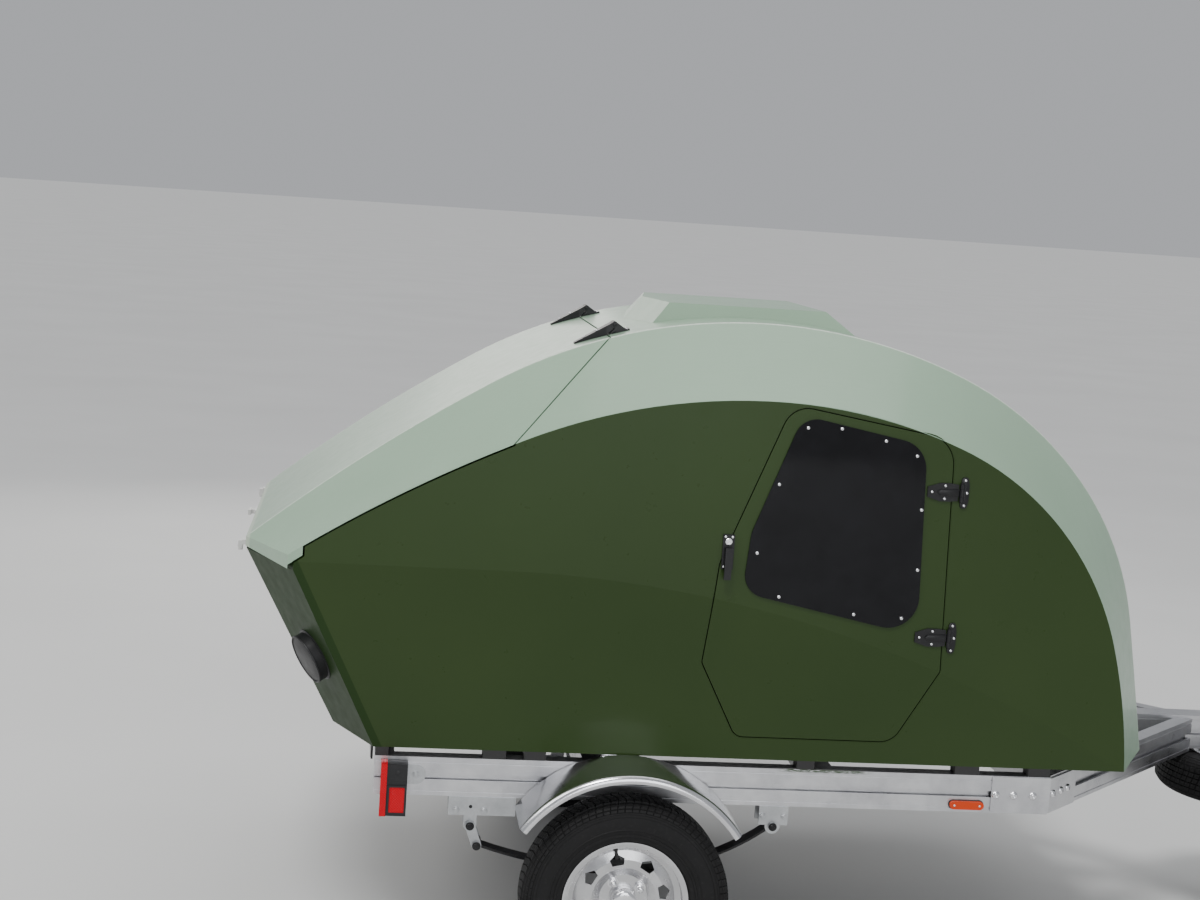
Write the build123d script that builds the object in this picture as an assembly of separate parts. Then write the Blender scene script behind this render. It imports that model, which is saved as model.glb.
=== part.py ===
from build123d import *
import math
import os

# A small faceted camper on a bolted aluminium trailer.
# Lengths are in millimetres. X points forward to the coupler, Y to the left side, Z up.
# Places along X are first measured from the rear end of the side rails, and the whole
# trailer is moved at export so that the origin lies on the ground below its middle.

# Trailer frame
RAIL_LENGTH = 1800.0
RAIL_HEIGHT = 101.6
RAIL_WIDTH = 44.0
RAIL_TOP = 592.0
FRAME_HALF_WIDTH = 700.0
EXTRUSION_WALL = 5.0
CROSSMEMBER_WIDTH = 50.0
CROSSMEMBER_HEIGHT = 76.0
CROSSMEMBER_STARTS = (0.0, 540.0, 1160.0, RAIL_LENGTH - CROSSMEMBER_WIDTH)
SLOT_MOUTH = 17.5
SLOT_INSIDE = 28.0
SLOT_DEPTH = 12.0
SLOT_LIP = 4.0
GROOVE_WIDTH = 5.0
GROOVE_DEPTH = 2.0
GROOVE_OFFSET = 38.0
TONGUE_WIDTH = 76.0
TONGUE_BOTTOM = 505.0
TONGUE_TOP = 607.0
ARM_TOP = 597.0
ARM_BOTTOM = ARM_TOP - RAIL_HEIGHT
ARM_ANGLE = 44.2
ARM_TURN = math.radians(ARM_ANGLE)
ARM_END_X = RAIL_LENGTH + (FRAME_HALF_WIDTH - TONGUE_WIDTH / 2) / math.tan(ARM_TURN)
TONGUE_END_X = ARM_END_X + 749.25
PLATE_THICKNESS = 5.0
CORNER_PLATE_REAR = 160.0
CORNER_PLATE_FRONT = 150.0
CORNER_PLATE_LOW = 496.0
CORNER_PLATE_HIGH = 591.0
APEX_START_X = ARM_END_X - 160.0
APEX_END_X = ARM_END_X - 48.0
APEX_REAR_HALF = 180.0
APEX_FRONT_HALF = 66.0
FIT = 0.3

# Coupler and chain plate
COUPLER_START_X = TONGUE_END_X - 125.0
COUPLER_TAPER_X = TONGUE_END_X + 10.0
COUPLER_WIDTH = 92.0
COUPLER_NOSE_RADIUS = 37.0
COUPLER_BOTTOM = 532.0
COUPLER_TOP = 613.0
COUPLER_NOSE_TOP = 604.0
BALL_X = TONGUE_END_X + 95.0
SOCKET_RADIUS = 25.8
SOCKET_DEPTH = 33.0
LEVER_HALF_WIDTH = 9.0
LEVER_OUTLINE = ((-150.0, 0.0), (-87.0, 0.0), (-33.0, 4.0), (-29.0, 16.0), (-99.0, 23.0), (-150.0, 15.0))
CHAIN_PLATE_X = TONGUE_END_X - 100.0
CHAIN_PLATE_LENGTH = 60.0
CHAIN_PLATE_HALF = 70.0
CHAIN_PLATE_THICKNESS = 8.0
CHAIN_HOLE_Y = 54.0
CHAIN_HOLE_RADIUS = 7.0

# Parking jack
JACK_X = TONGUE_END_X - 180.0
JACK_Y = TONGUE_WIDTH / 2 + 37.0
JACK_TUBE_RADIUS = 28.0
JACK_TUBE_BORE = 24.0
JACK_TUBE_BOTTOM = 268.0
JACK_TUBE_TOP = 800.0
JACK_CAP = 12.0
JACK_LEG_RADIUS = 23.0
JACK_LEG_TOP = 540.0
JACK_FOOT_RADIUS = 60.0
JACK_FOOT_THICKNESS = 8.0
JACK_PLATE_HALF = 42.0
JACK_PLATE_THICKNESS = 8.0
JACK_PLATE_LOW = 512.0
JACK_PLATE_HIGH = 602.0
COLLAR_HEIGHTS = (524.0, 580.0)
COLLAR_DEPTH = 14.0
COLLAR_WALL = 7.0
COLLAR_HALF = 30.0
CRANK_REACH = 120.0
CRANK_ARM_HALF = 7.0
CRANK_ARM_THICKNESS = 8.0
CRANK_HUB_RADIUS = 13.0
CRANK_HUB_HEIGHT = 16.0
CRANK_PIN_RADIUS = 7.0
CRANK_GRIP_RADIUS = 13.0
CRANK_GRIP_LENGTH = 65.0

# Running gear
AXLE_X = 652.0
TYRE_RADIUS = 270.0
WHEEL_CENTRE_Y = FRAME_HALF_WIDTH + 108.0
LUG_CIRCLE = 101.6
LUG_COUNT = 4
LUG_SEAT_RADIUS = 10.0
LUG_SEAT_HEIGHT = 20.0
LUG_END_RADIUS = 6.0
LUG_END_HEIGHT = 27.0
HUB_RADIUS = 36.0
HUB_BACK_Y = -75.0
HUB_FLANGE_RADIUS = 62.0
HUB_FLANGE_Y = -8.0
HUB_CAP_RADIUS = 32.0
HUB_CAP_HEIGHT = 26.0
HUB_TIP_RADIUS = 27.0
HUB_TIP_HEIGHT = 34.0
AXLE_SIZE = 40.0
AXLE_INSET = 80.0
SPINDLE_RADIUS = 15.0
SPINDLE_LENGTH = 66.0
SPRING_Y = FRAME_HALF_WIDTH - 24.0
SPRING_WIDTH = 44.0
LEAF_THICKNESS = 6.0
EYE_RADIUS = 14.0
HELPER_REAR = 230.0
HELPER_FRONT = 240.0
SHACKLE_TOP_X = 254.0
SHACKLE_TOP_Z = 414.0
SHACKLE_LOW_X = 274.0
SHACKLE_LOW_Z = 361.0
SHACKLE_RADIUS = 13.0
SHACKLE_THICKNESS = 5.0
FRONT_EYE_X = 1052.0
FRONT_EYE_Z = 436.0
PIN_BORE = 6.5
PIN_HEAD_RADIUS = 10.0
PIN_HEAD = 6.0
HANGER_WALL = 5.0
HANGER_ROOF = 6.0
HANGER_SIDE_ROOM = 6.0
REAR_HANGER_BACK = 58.0
REAR_HANGER_AHEAD = 116.0
REAR_HANGER_LOW = 442.0
EAR_TOP = RAIL_TOP - RAIL_HEIGHT - 20.4
EAR_RADIUS = 17.0
FRONT_HANGER_BACK = 38.0
FRONT_HANGER_AHEAD = 40.0
FRONT_HANGER_LOW = 440.0
FRONT_LUG_RADIUS = 20.0
FRONT_LUG_TOP = 460.0
CLAMP_REACH = 18.0
CLAMP_SIDE = 14.0
CLAMP_THICKNESS = 8.0
CLAMP_BOLT_RADIUS = 5.0
CLAMP_BOLT_END = 10.0
CLAMP_BOLT_X = 6.5
CLAMP_BOLT_Y = 7.0
FENDER_RADIUS = 347.0
FENDER_INNER_Y = FRAME_HALF_WIDTH + 6.0
FENDER_OUTER_Y = FRAME_HALF_WIDTH + 192.0
FENDER_HALF_ANGLE = 55.0
FENDER_THICKNESS = 2.5
FENDER_LIP = 22.0
BRACKET_ANGLES = (52.0, 128.0)
BRACKET_HALF_ANGLE = 4.0
BRACKET_THICKNESS = 4.0
BRACKET_DEPTH = 44.0
BRACKET_REACH = 34.0
SPARE_X = ARM_END_X + 207.0
SPARE_MID_Z = ARM_BOTTOM - 64.4
CARRIER_HALF = 60.0
CARRIER_PLATE = 8.0
CARRIER_POST_RADIUS = 42.0
CARRIER_STUD_RADIUS = 10.0
CARRIER_STUD_LENGTH = 40.0
CARRIER_WASHER_RADIUS = 48.0
CARRIER_WASHER = 7.7
DISC_THICKNESS = 5.0

# Lamps and plate holder
LAMP_REAR_X = 17.0
LAMP_SPLIT_X = 33.0
LAMP_FRONT_X = 85.0
LAMP_LOW = 446.0
LAMP_HIGH = 584.0
LAMP_DEPTH = 45.0
SIDE_LENS_START_X = 40.0
SIDE_LENS_END_X = 80.0
SIDE_LENS_LOW = 456.0
SIDE_LENS_HIGH = 524.0
SIDE_LENS_DEPTH = 10.0
LAMP_BRACKET_START_X = 20.0
LAMP_BRACKET_END_X = 107.0
LAMP_BRACKET_Z = 546.0
LAMP_BRACKET_HALF = 26.0
LAMP_BRACKET_THICKNESS = 3.0
LAMP_BRACKET_HOLE = 5.0
MARKER_START_X = RAIL_LENGTH - 273.0
MARKER_END_X = RAIL_LENGTH - 180.0
MARKER_Z = 511.0
MARKER_HALF_HEIGHT = 11.0
MARKER_DEPTH = 12.0
HOLDER_HALF = 152.0
HOLDER_LOW = 420.0
HOLDER_HIGH = 572.0
HOLDER_THICKNESS = 6.0
HOLDER_NECK_HALF = 60.0
HOLDER_NECK_HIGH = 590.0
HOLDER_NECK_LAP = 12.0

# Camper body, heights measured from the underside of its floor
FLOOR_Z = 615.0
PANEL = 18.0
DOOR_GAP = 5.0
HATCH_GAP = 5.0
HATCH_LIP = 25.0
FLOOR_HALF_WIDTH = FRAME_HALF_WIDTH
BODY_HALF_WIDTH = FRAME_HALF_WIDTH + 60.0
NOSE_HALF_WIDTH = FRAME_HALF_WIDTH
ROOF_HALF_WIDTH = FRAME_HALF_WIDTH - 230.0
PLAN_ARC_START_X = 300.0
PLAN_ARC_END_X = 2000.0
CREASE_HEIGHT = 485.0
TRANSOM_TOP_X = -363.0
TRANSOM_TOP_HEIGHT = 462.0
TRANSOM_FOOT_X = -114.0
CORNER_FOOT_X = -6.0

# Stations of the shell from the tail to the nose. Columns: roof edge x, roof edge height,
# band foot x, band foot height. The roof edge runs along the flat roof strip, and the
# band foot is where the sloping band meets the side.
STATIONS = (
    (TRANSOM_TOP_X - 2.0, TRANSOM_TOP_HEIGHT + 29.0, -243.0, TRANSOM_TOP_HEIGHT + 39.0),
    (252.0, 931.0, 322.0, 815.5),
    (943.0, 1132.0, 943.0, 951.0),
    (1537.0, 1016.0, 1467.0, 852.5),
    (1887.0, 757.0, 1761.0, 650.5),
    (2072.0, 369.0, 1938.0, 345.0),
    (2138.0, 0.0, 2003.0, 0.0),
)
ROOF_START_ANGLE = 39.8
FOOT_START_ANGLE = 34.0
HATCH_SEAM_X = 566.0
SEAM_FOOT_X = 308.0
SEAM_FOOT_HEIGHT = 809.0


def chain(points, start_angle):
    """Tangent arcs through (x, z) points as (start, middle, end) triples."""
    spans = []
    angle = math.radians(start_angle)
    for (x0, z0), (x1, z1) in zip(points[:-1], points[1:]):
        chord = math.atan2(z1 - z0, x1 - x0)
        turn = chord - angle
        length = math.hypot(x1 - x0, z1 - z0)
        rise = length / 2 * math.tan(turn / 2)
        xm = (x0 + x1) / 2 + rise * math.sin(chord)
        zm = (z0 + z1) / 2 - rise * math.cos(chord)
        spans.append(((x0, z0), (xm, zm), (x1, z1)))
        angle = chord + turn
    return spans


def chain_normals(points, start_angle):
    """Unit normals, pointing out of the shell, at the points of a tangent chain."""
    angle = math.radians(start_angle)
    normals = [(-math.sin(angle), math.cos(angle))]
    for (x0, z0), (x1, z1) in zip(points[:-1], points[1:]):
        chord = math.atan2(z1 - z0, x1 - x0)
        angle = 2 * chord - angle
        normals.append((-math.sin(angle), math.cos(angle)))
    return normals


def plan_radius():
    """Radius of the gentle plan curve that narrows the body towards its nose."""
    run = PLAN_ARC_END_X - PLAN_ARC_START_X
    drop = BODY_HALF_WIDTH - NOSE_HALF_WIDTH
    return (run * run + drop * drop) / (2 * drop)


def half_width(x):
    """Half width of the body sides at x."""
    if x <= PLAN_ARC_START_X:
        return BODY_HALF_WIDTH
    radius = plan_radius()
    run = x - PLAN_ARC_START_X
    return BODY_HALF_WIDTH - radius + math.sqrt(radius * radius - run * run)


FAR = 4000.0
SKIRT = -60.0
BAND_END_Y = BODY_HALF_WIDTH + 40.0
TAIL_CLEAR_X = -700.0
NOSE_CLEAR_X = 2300.0


def half_space(origin, outward):
    """Large block that fills the side of a plane that its normal points to."""
    return Plane(origin=origin, z_dir=outward) * Pos(0, 0, FAR / 2) * Box(FAR, FAR, FAR)


def region(x0, x1, y0, y1, z0, z1):
    """Block between two corners."""
    size = Box(x1 - x0, y1 - y0, z1 - z0)
    return Pos((x0 + x1) / 2, (y0 + y1) / 2, (z0 + z1) / 2) * size


def mirrored(shape):
    """The same piece on the other side of the trailer."""
    return mirror(shape, about=Plane.XZ)


def roof_points(inset):
    """Points of the roof edge, inset square to the roof."""
    edge = [(row[0], row[1]) for row in STATIONS]
    normals = chain_normals(edge, ROOF_START_ANGLE)
    return [(x - nx * inset, z - nz * inset) for (x, z), (nx, nz) in zip(edge, normals)]


def band_points(inset):
    """Points where each band would end beyond the body side, inset square to the band."""
    far_edge = []
    stretch = []
    for roof_x, roof_h, foot_x, foot_h in STATIONS:
        reach = half_width(foot_x) - ROOF_HALF_WIDTH
        share = (BAND_END_Y - ROOF_HALF_WIDTH) / reach
        far_edge.append((roof_x + (foot_x - roof_x) * share, roof_h + (foot_h - roof_h) * share))
        slope = math.hypot(foot_x - roof_x, foot_h - roof_h) / reach
        stretch.append(math.sqrt(1 + slope * slope))
    normals = chain_normals(far_edge, FOOT_START_ANGLE)
    return [(x - nx * inset * s, z - nz * inset * s)
            for (x, z), (nx, nz), s in zip(far_edge, normals, stretch)]


def profile(points, start_angle, y):
    """Closed side outline at y: the chain above, straight sides and a level foot."""
    edges = [ThreePointArc((a[0], y, a[1]), (m[0], y, m[1]), (b[0], y, b[1]))
             for a, m, b in chain(points, start_angle)]
    tail = points[0]
    nose = points[-1]
    edges.append(Line((nose[0], y, nose[1]), (nose[0], y, SKIRT)))
    edges.append(Line((nose[0], y, SKIRT), (tail[0], y, SKIRT)))
    edges.append(Line((tail[0], y, SKIRT), (tail[0], y, tail[1])))
    return Wire(edges)


def roof_blank(inset):
    """Solid below the roof strip and the two bands, inset by a wall thickness."""
    roof = roof_points(inset)
    band = band_points(inset)
    roof[0] = (STATIONS[0][0] + inset, roof[0][1])
    edge_y = ROOF_HALF_WIDTH - 0.32 * inset
    inner = profile(roof, ROOF_START_ANGLE, edge_y)
    outer = profile(band, FOOT_START_ANGLE, BAND_END_Y)
    wing = Solid.make_loft([inner, outer], ruled=True)
    middle = extrude(Face(inner), amount=2 * edge_y, dir=(0, -1, 0))
    return middle + wing + mirrored(wing)


def foot_prism(drop):
    """Everything below the line of the band feet, lowered by a gap."""
    points = [(row[2], row[3] - drop) for row in STATIONS[:-1]]
    last = STATIONS[-1]
    points.append((last[2] - drop * 0.2, last[3]))
    outline = profile(points, FOOT_START_ANGLE, FAR / 4)
    return extrude(Face(outline), amount=FAR / 2, dir=(0, -1, 0))


def plan_prism(offset):
    """The body's plan outline, moved outwards by an offset, as a tall block."""
    radius = plan_radius() + offset
    centre_y = BODY_HALF_WIDTH - plan_radius()
    side = BODY_HALF_WIDTH + offset
    run = NOSE_CLEAR_X - PLAN_ARC_START_X
    end = centre_y + math.sqrt(radius * radius - run * run)
    middle = centre_y + math.sqrt(radius * radius - run * run / 4)
    x0 = PLAN_ARC_START_X
    xm = PLAN_ARC_START_X + run / 2
    edges = [
        Line((TAIL_CLEAR_X, side), (x0, side)),
        ThreePointArc((x0, side), (xm, middle), (NOSE_CLEAR_X, end)),
        Line((NOSE_CLEAR_X, end), (NOSE_CLEAR_X, -end)),
        ThreePointArc((NOSE_CLEAR_X, -end), (xm, -middle), (x0, -side)),
        Line((x0, -side), (TAIL_CLEAR_X, -side)),
        Line((TAIL_CLEAR_X, -side), (TAIL_CLEAR_X, side)),
    ]
    face = Face(Wire(edges))
    return Pos(0, 0, SKIRT) * extrude(face, amount=FAR / 2, dir=(0, 0, 1))


def side_slope(depth):
    """Space outside the left lower side panel, moved inwards by a depth."""
    lean = Vector(0, CREASE_HEIGHT, FLOOR_HALF_WIDTH - BODY_HALF_WIDTH).normalized()
    origin = Vector(0, FLOOR_HALF_WIDTH, 0) - lean * depth
    return half_space(origin, lean)


def transom_space(depth):
    """Space behind the transom, moved inwards by a depth."""
    run = TRANSOM_FOOT_X - TRANSOM_TOP_X
    lean = Vector(-TRANSOM_TOP_HEIGHT, 0, -run).normalized()
    origin = Vector(TRANSOM_FOOT_X, 0, 0) - lean * depth
    return half_space(origin, lean)


def corner_space(depth):
    """Space outside the left rear corner panel, moved inwards by a depth."""
    top = Vector(TRANSOM_TOP_X, ROOF_HALF_WIDTH, TRANSOM_TOP_HEIGHT)
    foot = Vector(TRANSOM_FOOT_X, ROOF_HALF_WIDTH, 0)
    outer = Vector(CORNER_FOOT_X, FLOOR_HALF_WIDTH, 0)
    lean = (outer - foot).cross(top - foot).normalized()
    if lean.Y < 0:
        lean = lean * -1
    return half_space(foot - lean * depth, lean)


def hull(depth):
    """Space inside the side, transom and corner planes moved inwards by a depth, above the floor."""
    block = plan_prism(-depth) - region(-FAR, FAR, -FAR, FAR, 2 * SKIRT, 0)
    block = block - side_slope(depth) - mirrored(side_slope(depth))
    block = block - transom_space(depth)
    return block - corner_space(depth) - mirrored(corner_space(depth))


# Doors and windows: corner columns are x, height above the floor underside, corner radius
DOOR_CORNERS = (
    (1007.0, 950.0, 70.0),
    (1449.0, 878.0, 85.0),
    (1464.0, 262.0, 22.0),
    (1356.0, 58.0, 60.0),
    (930.0, 58.0, 40.0),
    (822.0, 262.0, 25.0),
    (846.0, 530.0, 80.0),
)
WINDOW_CORNERS = (
    (1038.0, 920.0, 60.0),
    (1371.0, 857.0, 80.0),
    (1388.0, 358.0, 80.0),
    (913.0, 456.0, 60.0),
    (926.0, 612.0, 60.0),
)
WINDOW_LAP = 24.0
WINDOW_THICKNESS = 4.5

# Door hinges and latch. The strap outline has columns: distance behind the pin, half height
HINGE_AXIS_X = 1474.0
HINGE_HEIGHTS = (739.0, 354.0)
HINGE_PLATE = 3.5
KNUCKLE_RADIUS = 6.0
PIN_RADIUS = 3.0
PIN_ROOM = 0.1
DOOR_HINGE_OUT = 7.0
LEAF_START = 4.0
LEAF_END = 20.0
LEAF_HALF_HEIGHT = 40.0
LEAF_BARREL = 24.0
STRAP_BARREL = 10.0
BARREL_ROOM = 0.5
STRAP_OUTLINE = ((0.0, 20.0), (30.0, 24.0), (58.0, 24.0), (92.0, 13.0))
LATCH_X = 868.0
LATCH_HEIGHT = 560.0
LATCH_BASE_HALF_WIDTH = 15.0
LATCH_BASE_HALF_HEIGHT = 45.0
LATCH_BASE = 5.0
LATCH_STEM_RADIUS = 8.0
LATCH_STEM = 22.0
LATCH_GRIP_HALF_WIDTH = 9.0
LATCH_GRIP = 8.0
LATCH_GRIP_DOWN = 70.0
LATCH_GRIP_UP = 12.0

# Roof hump corners. Columns: x at the foot, x at the top, y at the foot, y at the top
HUMP_FOOT_HEIGHT = STATIONS[2][1] - 4.0
HUMP_RISE = 35.0
HUMP_TOP_HEIGHT = HUMP_FOOT_HEIGHT + HUMP_RISE
HUMP_CORNERS = (
    (678.0, 704.0, 0.0, 0.0),
    (717.0, 745.0, 282.0, 270.0),
    (1233.0, 1186.0, 282.0, 270.0),
    (1233.0, 1186.0, -282.0, -270.0),
    (717.0, 745.0, -282.0, -270.0),
)
HUMP_ROOT = 70.0

# Hatch hinges, handle and latches
HATCH_HINGE_Y = 372.0
HATCH_AXIS_X = HATCH_SEAM_X + 16.0
HATCH_AXIS_RISE = 24.78
HATCH_STRAP_TIP = 105.0
HATCH_TIP_HALF = 13.0
HATCH_HINGE_HALF = 25.0
HATCH_KNUCKLE_RADIUS = 8.0
HATCH_KNUCKLE_HALF = 9.0
HATCH_PIN_RADIUS = 4.0
HATCH_LEAF_START = 6.0
HATCH_LEAF_END = 42.0
HATCH_PLATE = 4.0
HANDLE_HEIGHT = TRANSOM_TOP_HEIGHT + 19.0
HANDLE_HALF_WIDTH = 34.0
HANDLE_HALF_HEIGHT = 8.0
HANDLE_BASE = 5.0
HANDLE_STAND = 18.0
HANDLE_GRIP = 24.0
CORNER_LATCH_Y = ROOF_HALF_WIDTH - 20.0
CORNER_LATCH_HALF = 12.0
CORNER_LATCH_DEPTH = 20.0
CORNER_LATCH_DROP = 14.0

# Side vents and inside panels
VENT_RADIUS = 67.0
VENT_DEPTH = 27.0
VENT_Y = FLOOR_HALF_WIDTH - 100.0
VENT_HEIGHT = 212.0
BULKHEAD_X = HATCH_SEAM_X + 10.0
COUNTER_HEIGHT = 385.0
COUNTER_THICKNESS = 15.0
GALLEY_FRONT_X = 40.0

# Rubber pads between the rails and the floor. Columns: start x, end x
MOUNTS = (
    (2.0, 34.0),
    (277.0, 337.0),
    (385.0, 441.0),
    (RAIL_LENGTH - 694.0, RAIL_LENGTH - 647.0),
    (RAIL_LENGTH - 264.0, RAIL_LENGTH - 198.0),
    (RAIL_LENGTH - 62.0, RAIL_LENGTH - 2.0),
)


def rounded_prism(corners, grow, y0, y1):
    """Prism along Y of an outline with rounded corners, grown outwards by an amount."""
    points = [(x, h) for x, h, radius in corners]
    outline = make_face(Polyline(*points, close=True))
    for x, h, radius in corners:
        corner = min(outline.vertices(), key=lambda v: math.hypot(v.X - x, v.Y - h))
        outline = fillet(corner, radius)
    if grow:
        outline = offset(outline, amount=grow)
    face = Plane.XZ * outline
    return Pos(0, y1, 0) * extrude(face, amount=y1 - y0, dir=(0, -1, 0))


nodes = {}


def add(name, shape):
    """Keep a finished piece under its node name."""
    nodes[name] = shape


def add_body(name, shape):
    """Keep a camper piece, moved from floor heights to its place above the ground."""
    nodes[name] = Pos(0, 0, FLOOR_Z) * shape


def add_both(name, left):
    """Keep a left piece and its mirrored right twin as two nodes."""
    add(name + "_left", left)
    add(name + "_right", mirrored(left))


def pair(shape):
    """A piece together with its mirrored twin."""
    return shape + mirrored(shape)


def bar_y(x, z, radius, y0, y1):
    """Round bar along Y."""
    return Pos(x, (y0 + y1) / 2, z) * Rot(90, 0, 0) * Cylinder(radius, y1 - y0)


def bar_z(x, y, radius, z0, z1):
    """Round bar along Z."""
    return Pos(x, y, (z0 + z1) / 2) * Cylinder(radius, z1 - z0)


def xz_prism(points, y0, y1):
    """Polygon of (x, z) points extruded along Y."""
    face = Plane.XZ * make_face(Polyline(*points, close=True))
    return Pos(0, y1, 0) * extrude(face, amount=y1 - y0, dir=(0, -1, 0))


def xy_prism(points, z0, z1):
    """Polygon of (x, y) points extruded along Z."""
    return Pos(0, 0, z0) * extrude(make_face(Polyline(*points, close=True)), amount=z1 - z0)


def link(x0, z0, x1, z1, radius, y0, y1):
    """Flat link with round ends between two places, standing square to Y."""
    run = math.hypot(x1 - x0, z1 - z0)
    nx = -(z1 - z0) / run * radius
    nz = (x1 - x0) / run * radius
    corners = ((x0 + nx, z0 + nz), (x1 + nx, z1 + nz), (x1 - nx, z1 - nz), (x0 - nx, z0 - nz))
    return xz_prism(corners, y0, y1) + bar_y(x0, z0, radius, y0, y1) + bar_y(x1, z1, radius, y0, y1)


def arc_circle(start, middle, end):
    """Centre and radius of the circle through three (x, z) points."""
    (x0, z0), (xm, zm), (x1, z1) = start, middle, end
    d = 2 * (x0 * (zm - z1) + xm * (z1 - z0) + x1 * (z0 - zm))
    s0 = x0 * x0 + z0 * z0
    sm = xm * xm + zm * zm
    s1 = x1 * x1 + z1 * z1
    cx = (s0 * (zm - z1) + sm * (z1 - z0) + s1 * (z0 - zm)) / d
    cz = (s0 * (x1 - xm) + sm * (x0 - x1) + s1 * (xm - x0)) / d
    return cx, cz, math.hypot(x0 - cx, z0 - cz)


def roof_height(x):
    """Height of the roof strip at x."""
    edge = [(row[0], row[1]) for row in STATIONS]
    for start, middle, end in chain(edge, ROOF_START_ANGLE):
        if start[0] <= x <= end[0]:
            cx, cz, radius = arc_circle(start, middle, end)
            return cz + math.sqrt(radius * radius - (x - cx) ** 2)
    return 0.0


def roof_angle(x):
    """Slope of the roof strip at x, in degrees, positive where it climbs forward."""
    step = 0.5
    return math.degrees(math.atan2(roof_height(x + step) - roof_height(x - step), 2 * step))


def sector(radius_in, radius_out, angle0, angle1, y0, y1):
    """Part of a ring about the axle between two angles in degrees from straight ahead."""
    corners = []
    for radius, angle in ((radius_in, angle0), (radius_in, (angle0 + angle1) / 2), (radius_in, angle1),
                          (radius_out, angle1), (radius_out, (angle0 + angle1) / 2), (radius_out, angle0)):
        turn = math.radians(angle)
        corners.append((AXLE_X + radius * math.cos(turn), y1, TYRE_RADIUS + radius * math.sin(turn)))
    edges = [
        ThreePointArc(corners[0], corners[1], corners[2]),
        Line(corners[2], corners[3]),
        ThreePointArc(corners[3], corners[4], corners[5]),
        Line(corners[5], corners[0]),
    ]
    return extrude(Face(Wire(edges)), amount=y1 - y0, dir=(0, -1, 0))


def turned(points):
    """Ring about the Y axis from a closed outline of (radius, y) points."""
    return revolve(make_face(Polyline(*points, close=True)), axis=Axis.Y)


# Camper body

def seam_space():
    """Space behind the hatch seam: across the roof strip, then diagonally down each band."""
    roof_turn = math.radians(roof_angle(HATCH_SEAM_X))
    along = Vector(math.cos(roof_turn), 0, math.sin(roof_turn))
    top = Vector(HATCH_SEAM_X, ROOF_HALF_WIDTH, roof_height(HATCH_SEAM_X))
    foot = Vector(SEAM_FOOT_X, BODY_HALF_WIDTH, SEAM_FOOT_HEIGHT)
    row = STATIONS[1]
    rule = Vector(row[2] - row[0], BODY_HALF_WIDTH - ROOF_HALF_WIDTH, row[3] - row[1])
    outward = along.cross(rule).normalized()
    across = (foot - top).cross(outward).normalized()
    if across.X > 0:
        across = across * -1
    strip = half_space(Vector(top.X, 0, top.Z), along * -1)
    strip = strip & region(-FAR, FAR, -ROOF_HALF_WIDTH, ROOF_HALF_WIDTH, -FAR, FAR)
    wing = half_space(top, across) & region(-FAR, FAR, ROOF_HALF_WIDTH, FAR, -FAR, FAR)
    return strip, wing


def build_skin(outer_blank, inner_blank):
    """Roof strip and bands, fixed in front and hinged behind the hatch seam."""
    low = region(-FAR, FAR, -FAR, FAR, 2 * SKIRT, 0)
    skin = ((outer_blank - inner_blank) & plan_prism(0)) - low
    lip_foot = STATIONS[0][1] - HATCH_LIP
    lip_end_x = STATIONS[0][2] + 2 * PANEL
    lip = skin & region(-FAR, lip_end_x, -FAR, FAR, lip_foot, FAR)
    skin = skin - region(-FAR, lip_end_x, -FAR, FAR, 2 * SKIRT, lip_foot)
    skin = (skin - foot_prism(0)) + (lip - foot_prism(HATCH_LIP))
    strip_space, wing_space = seam_space()
    back = Pos(-HATCH_GAP - 1, 0, 2)
    centre = skin & region(-FAR, FAR, -ROOF_HALF_WIDTH, ROOF_HALF_WIDTH, -FAR, FAR)
    left = skin & region(-FAR, FAR, ROOF_HALF_WIDTH, FAR, -FAR, FAR)
    add_body("roof_panel", centre - strip_space)
    add_body("hatch_top", centre & (back * strip_space))
    band = left - wing_space
    hatch_band = left & (back * wing_space)
    add_body("band_left", band)
    add_body("band_right", mirrored(band))
    add_body("hatch_band_left", hatch_band)
    add_body("hatch_band_right", mirrored(hatch_band))


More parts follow.
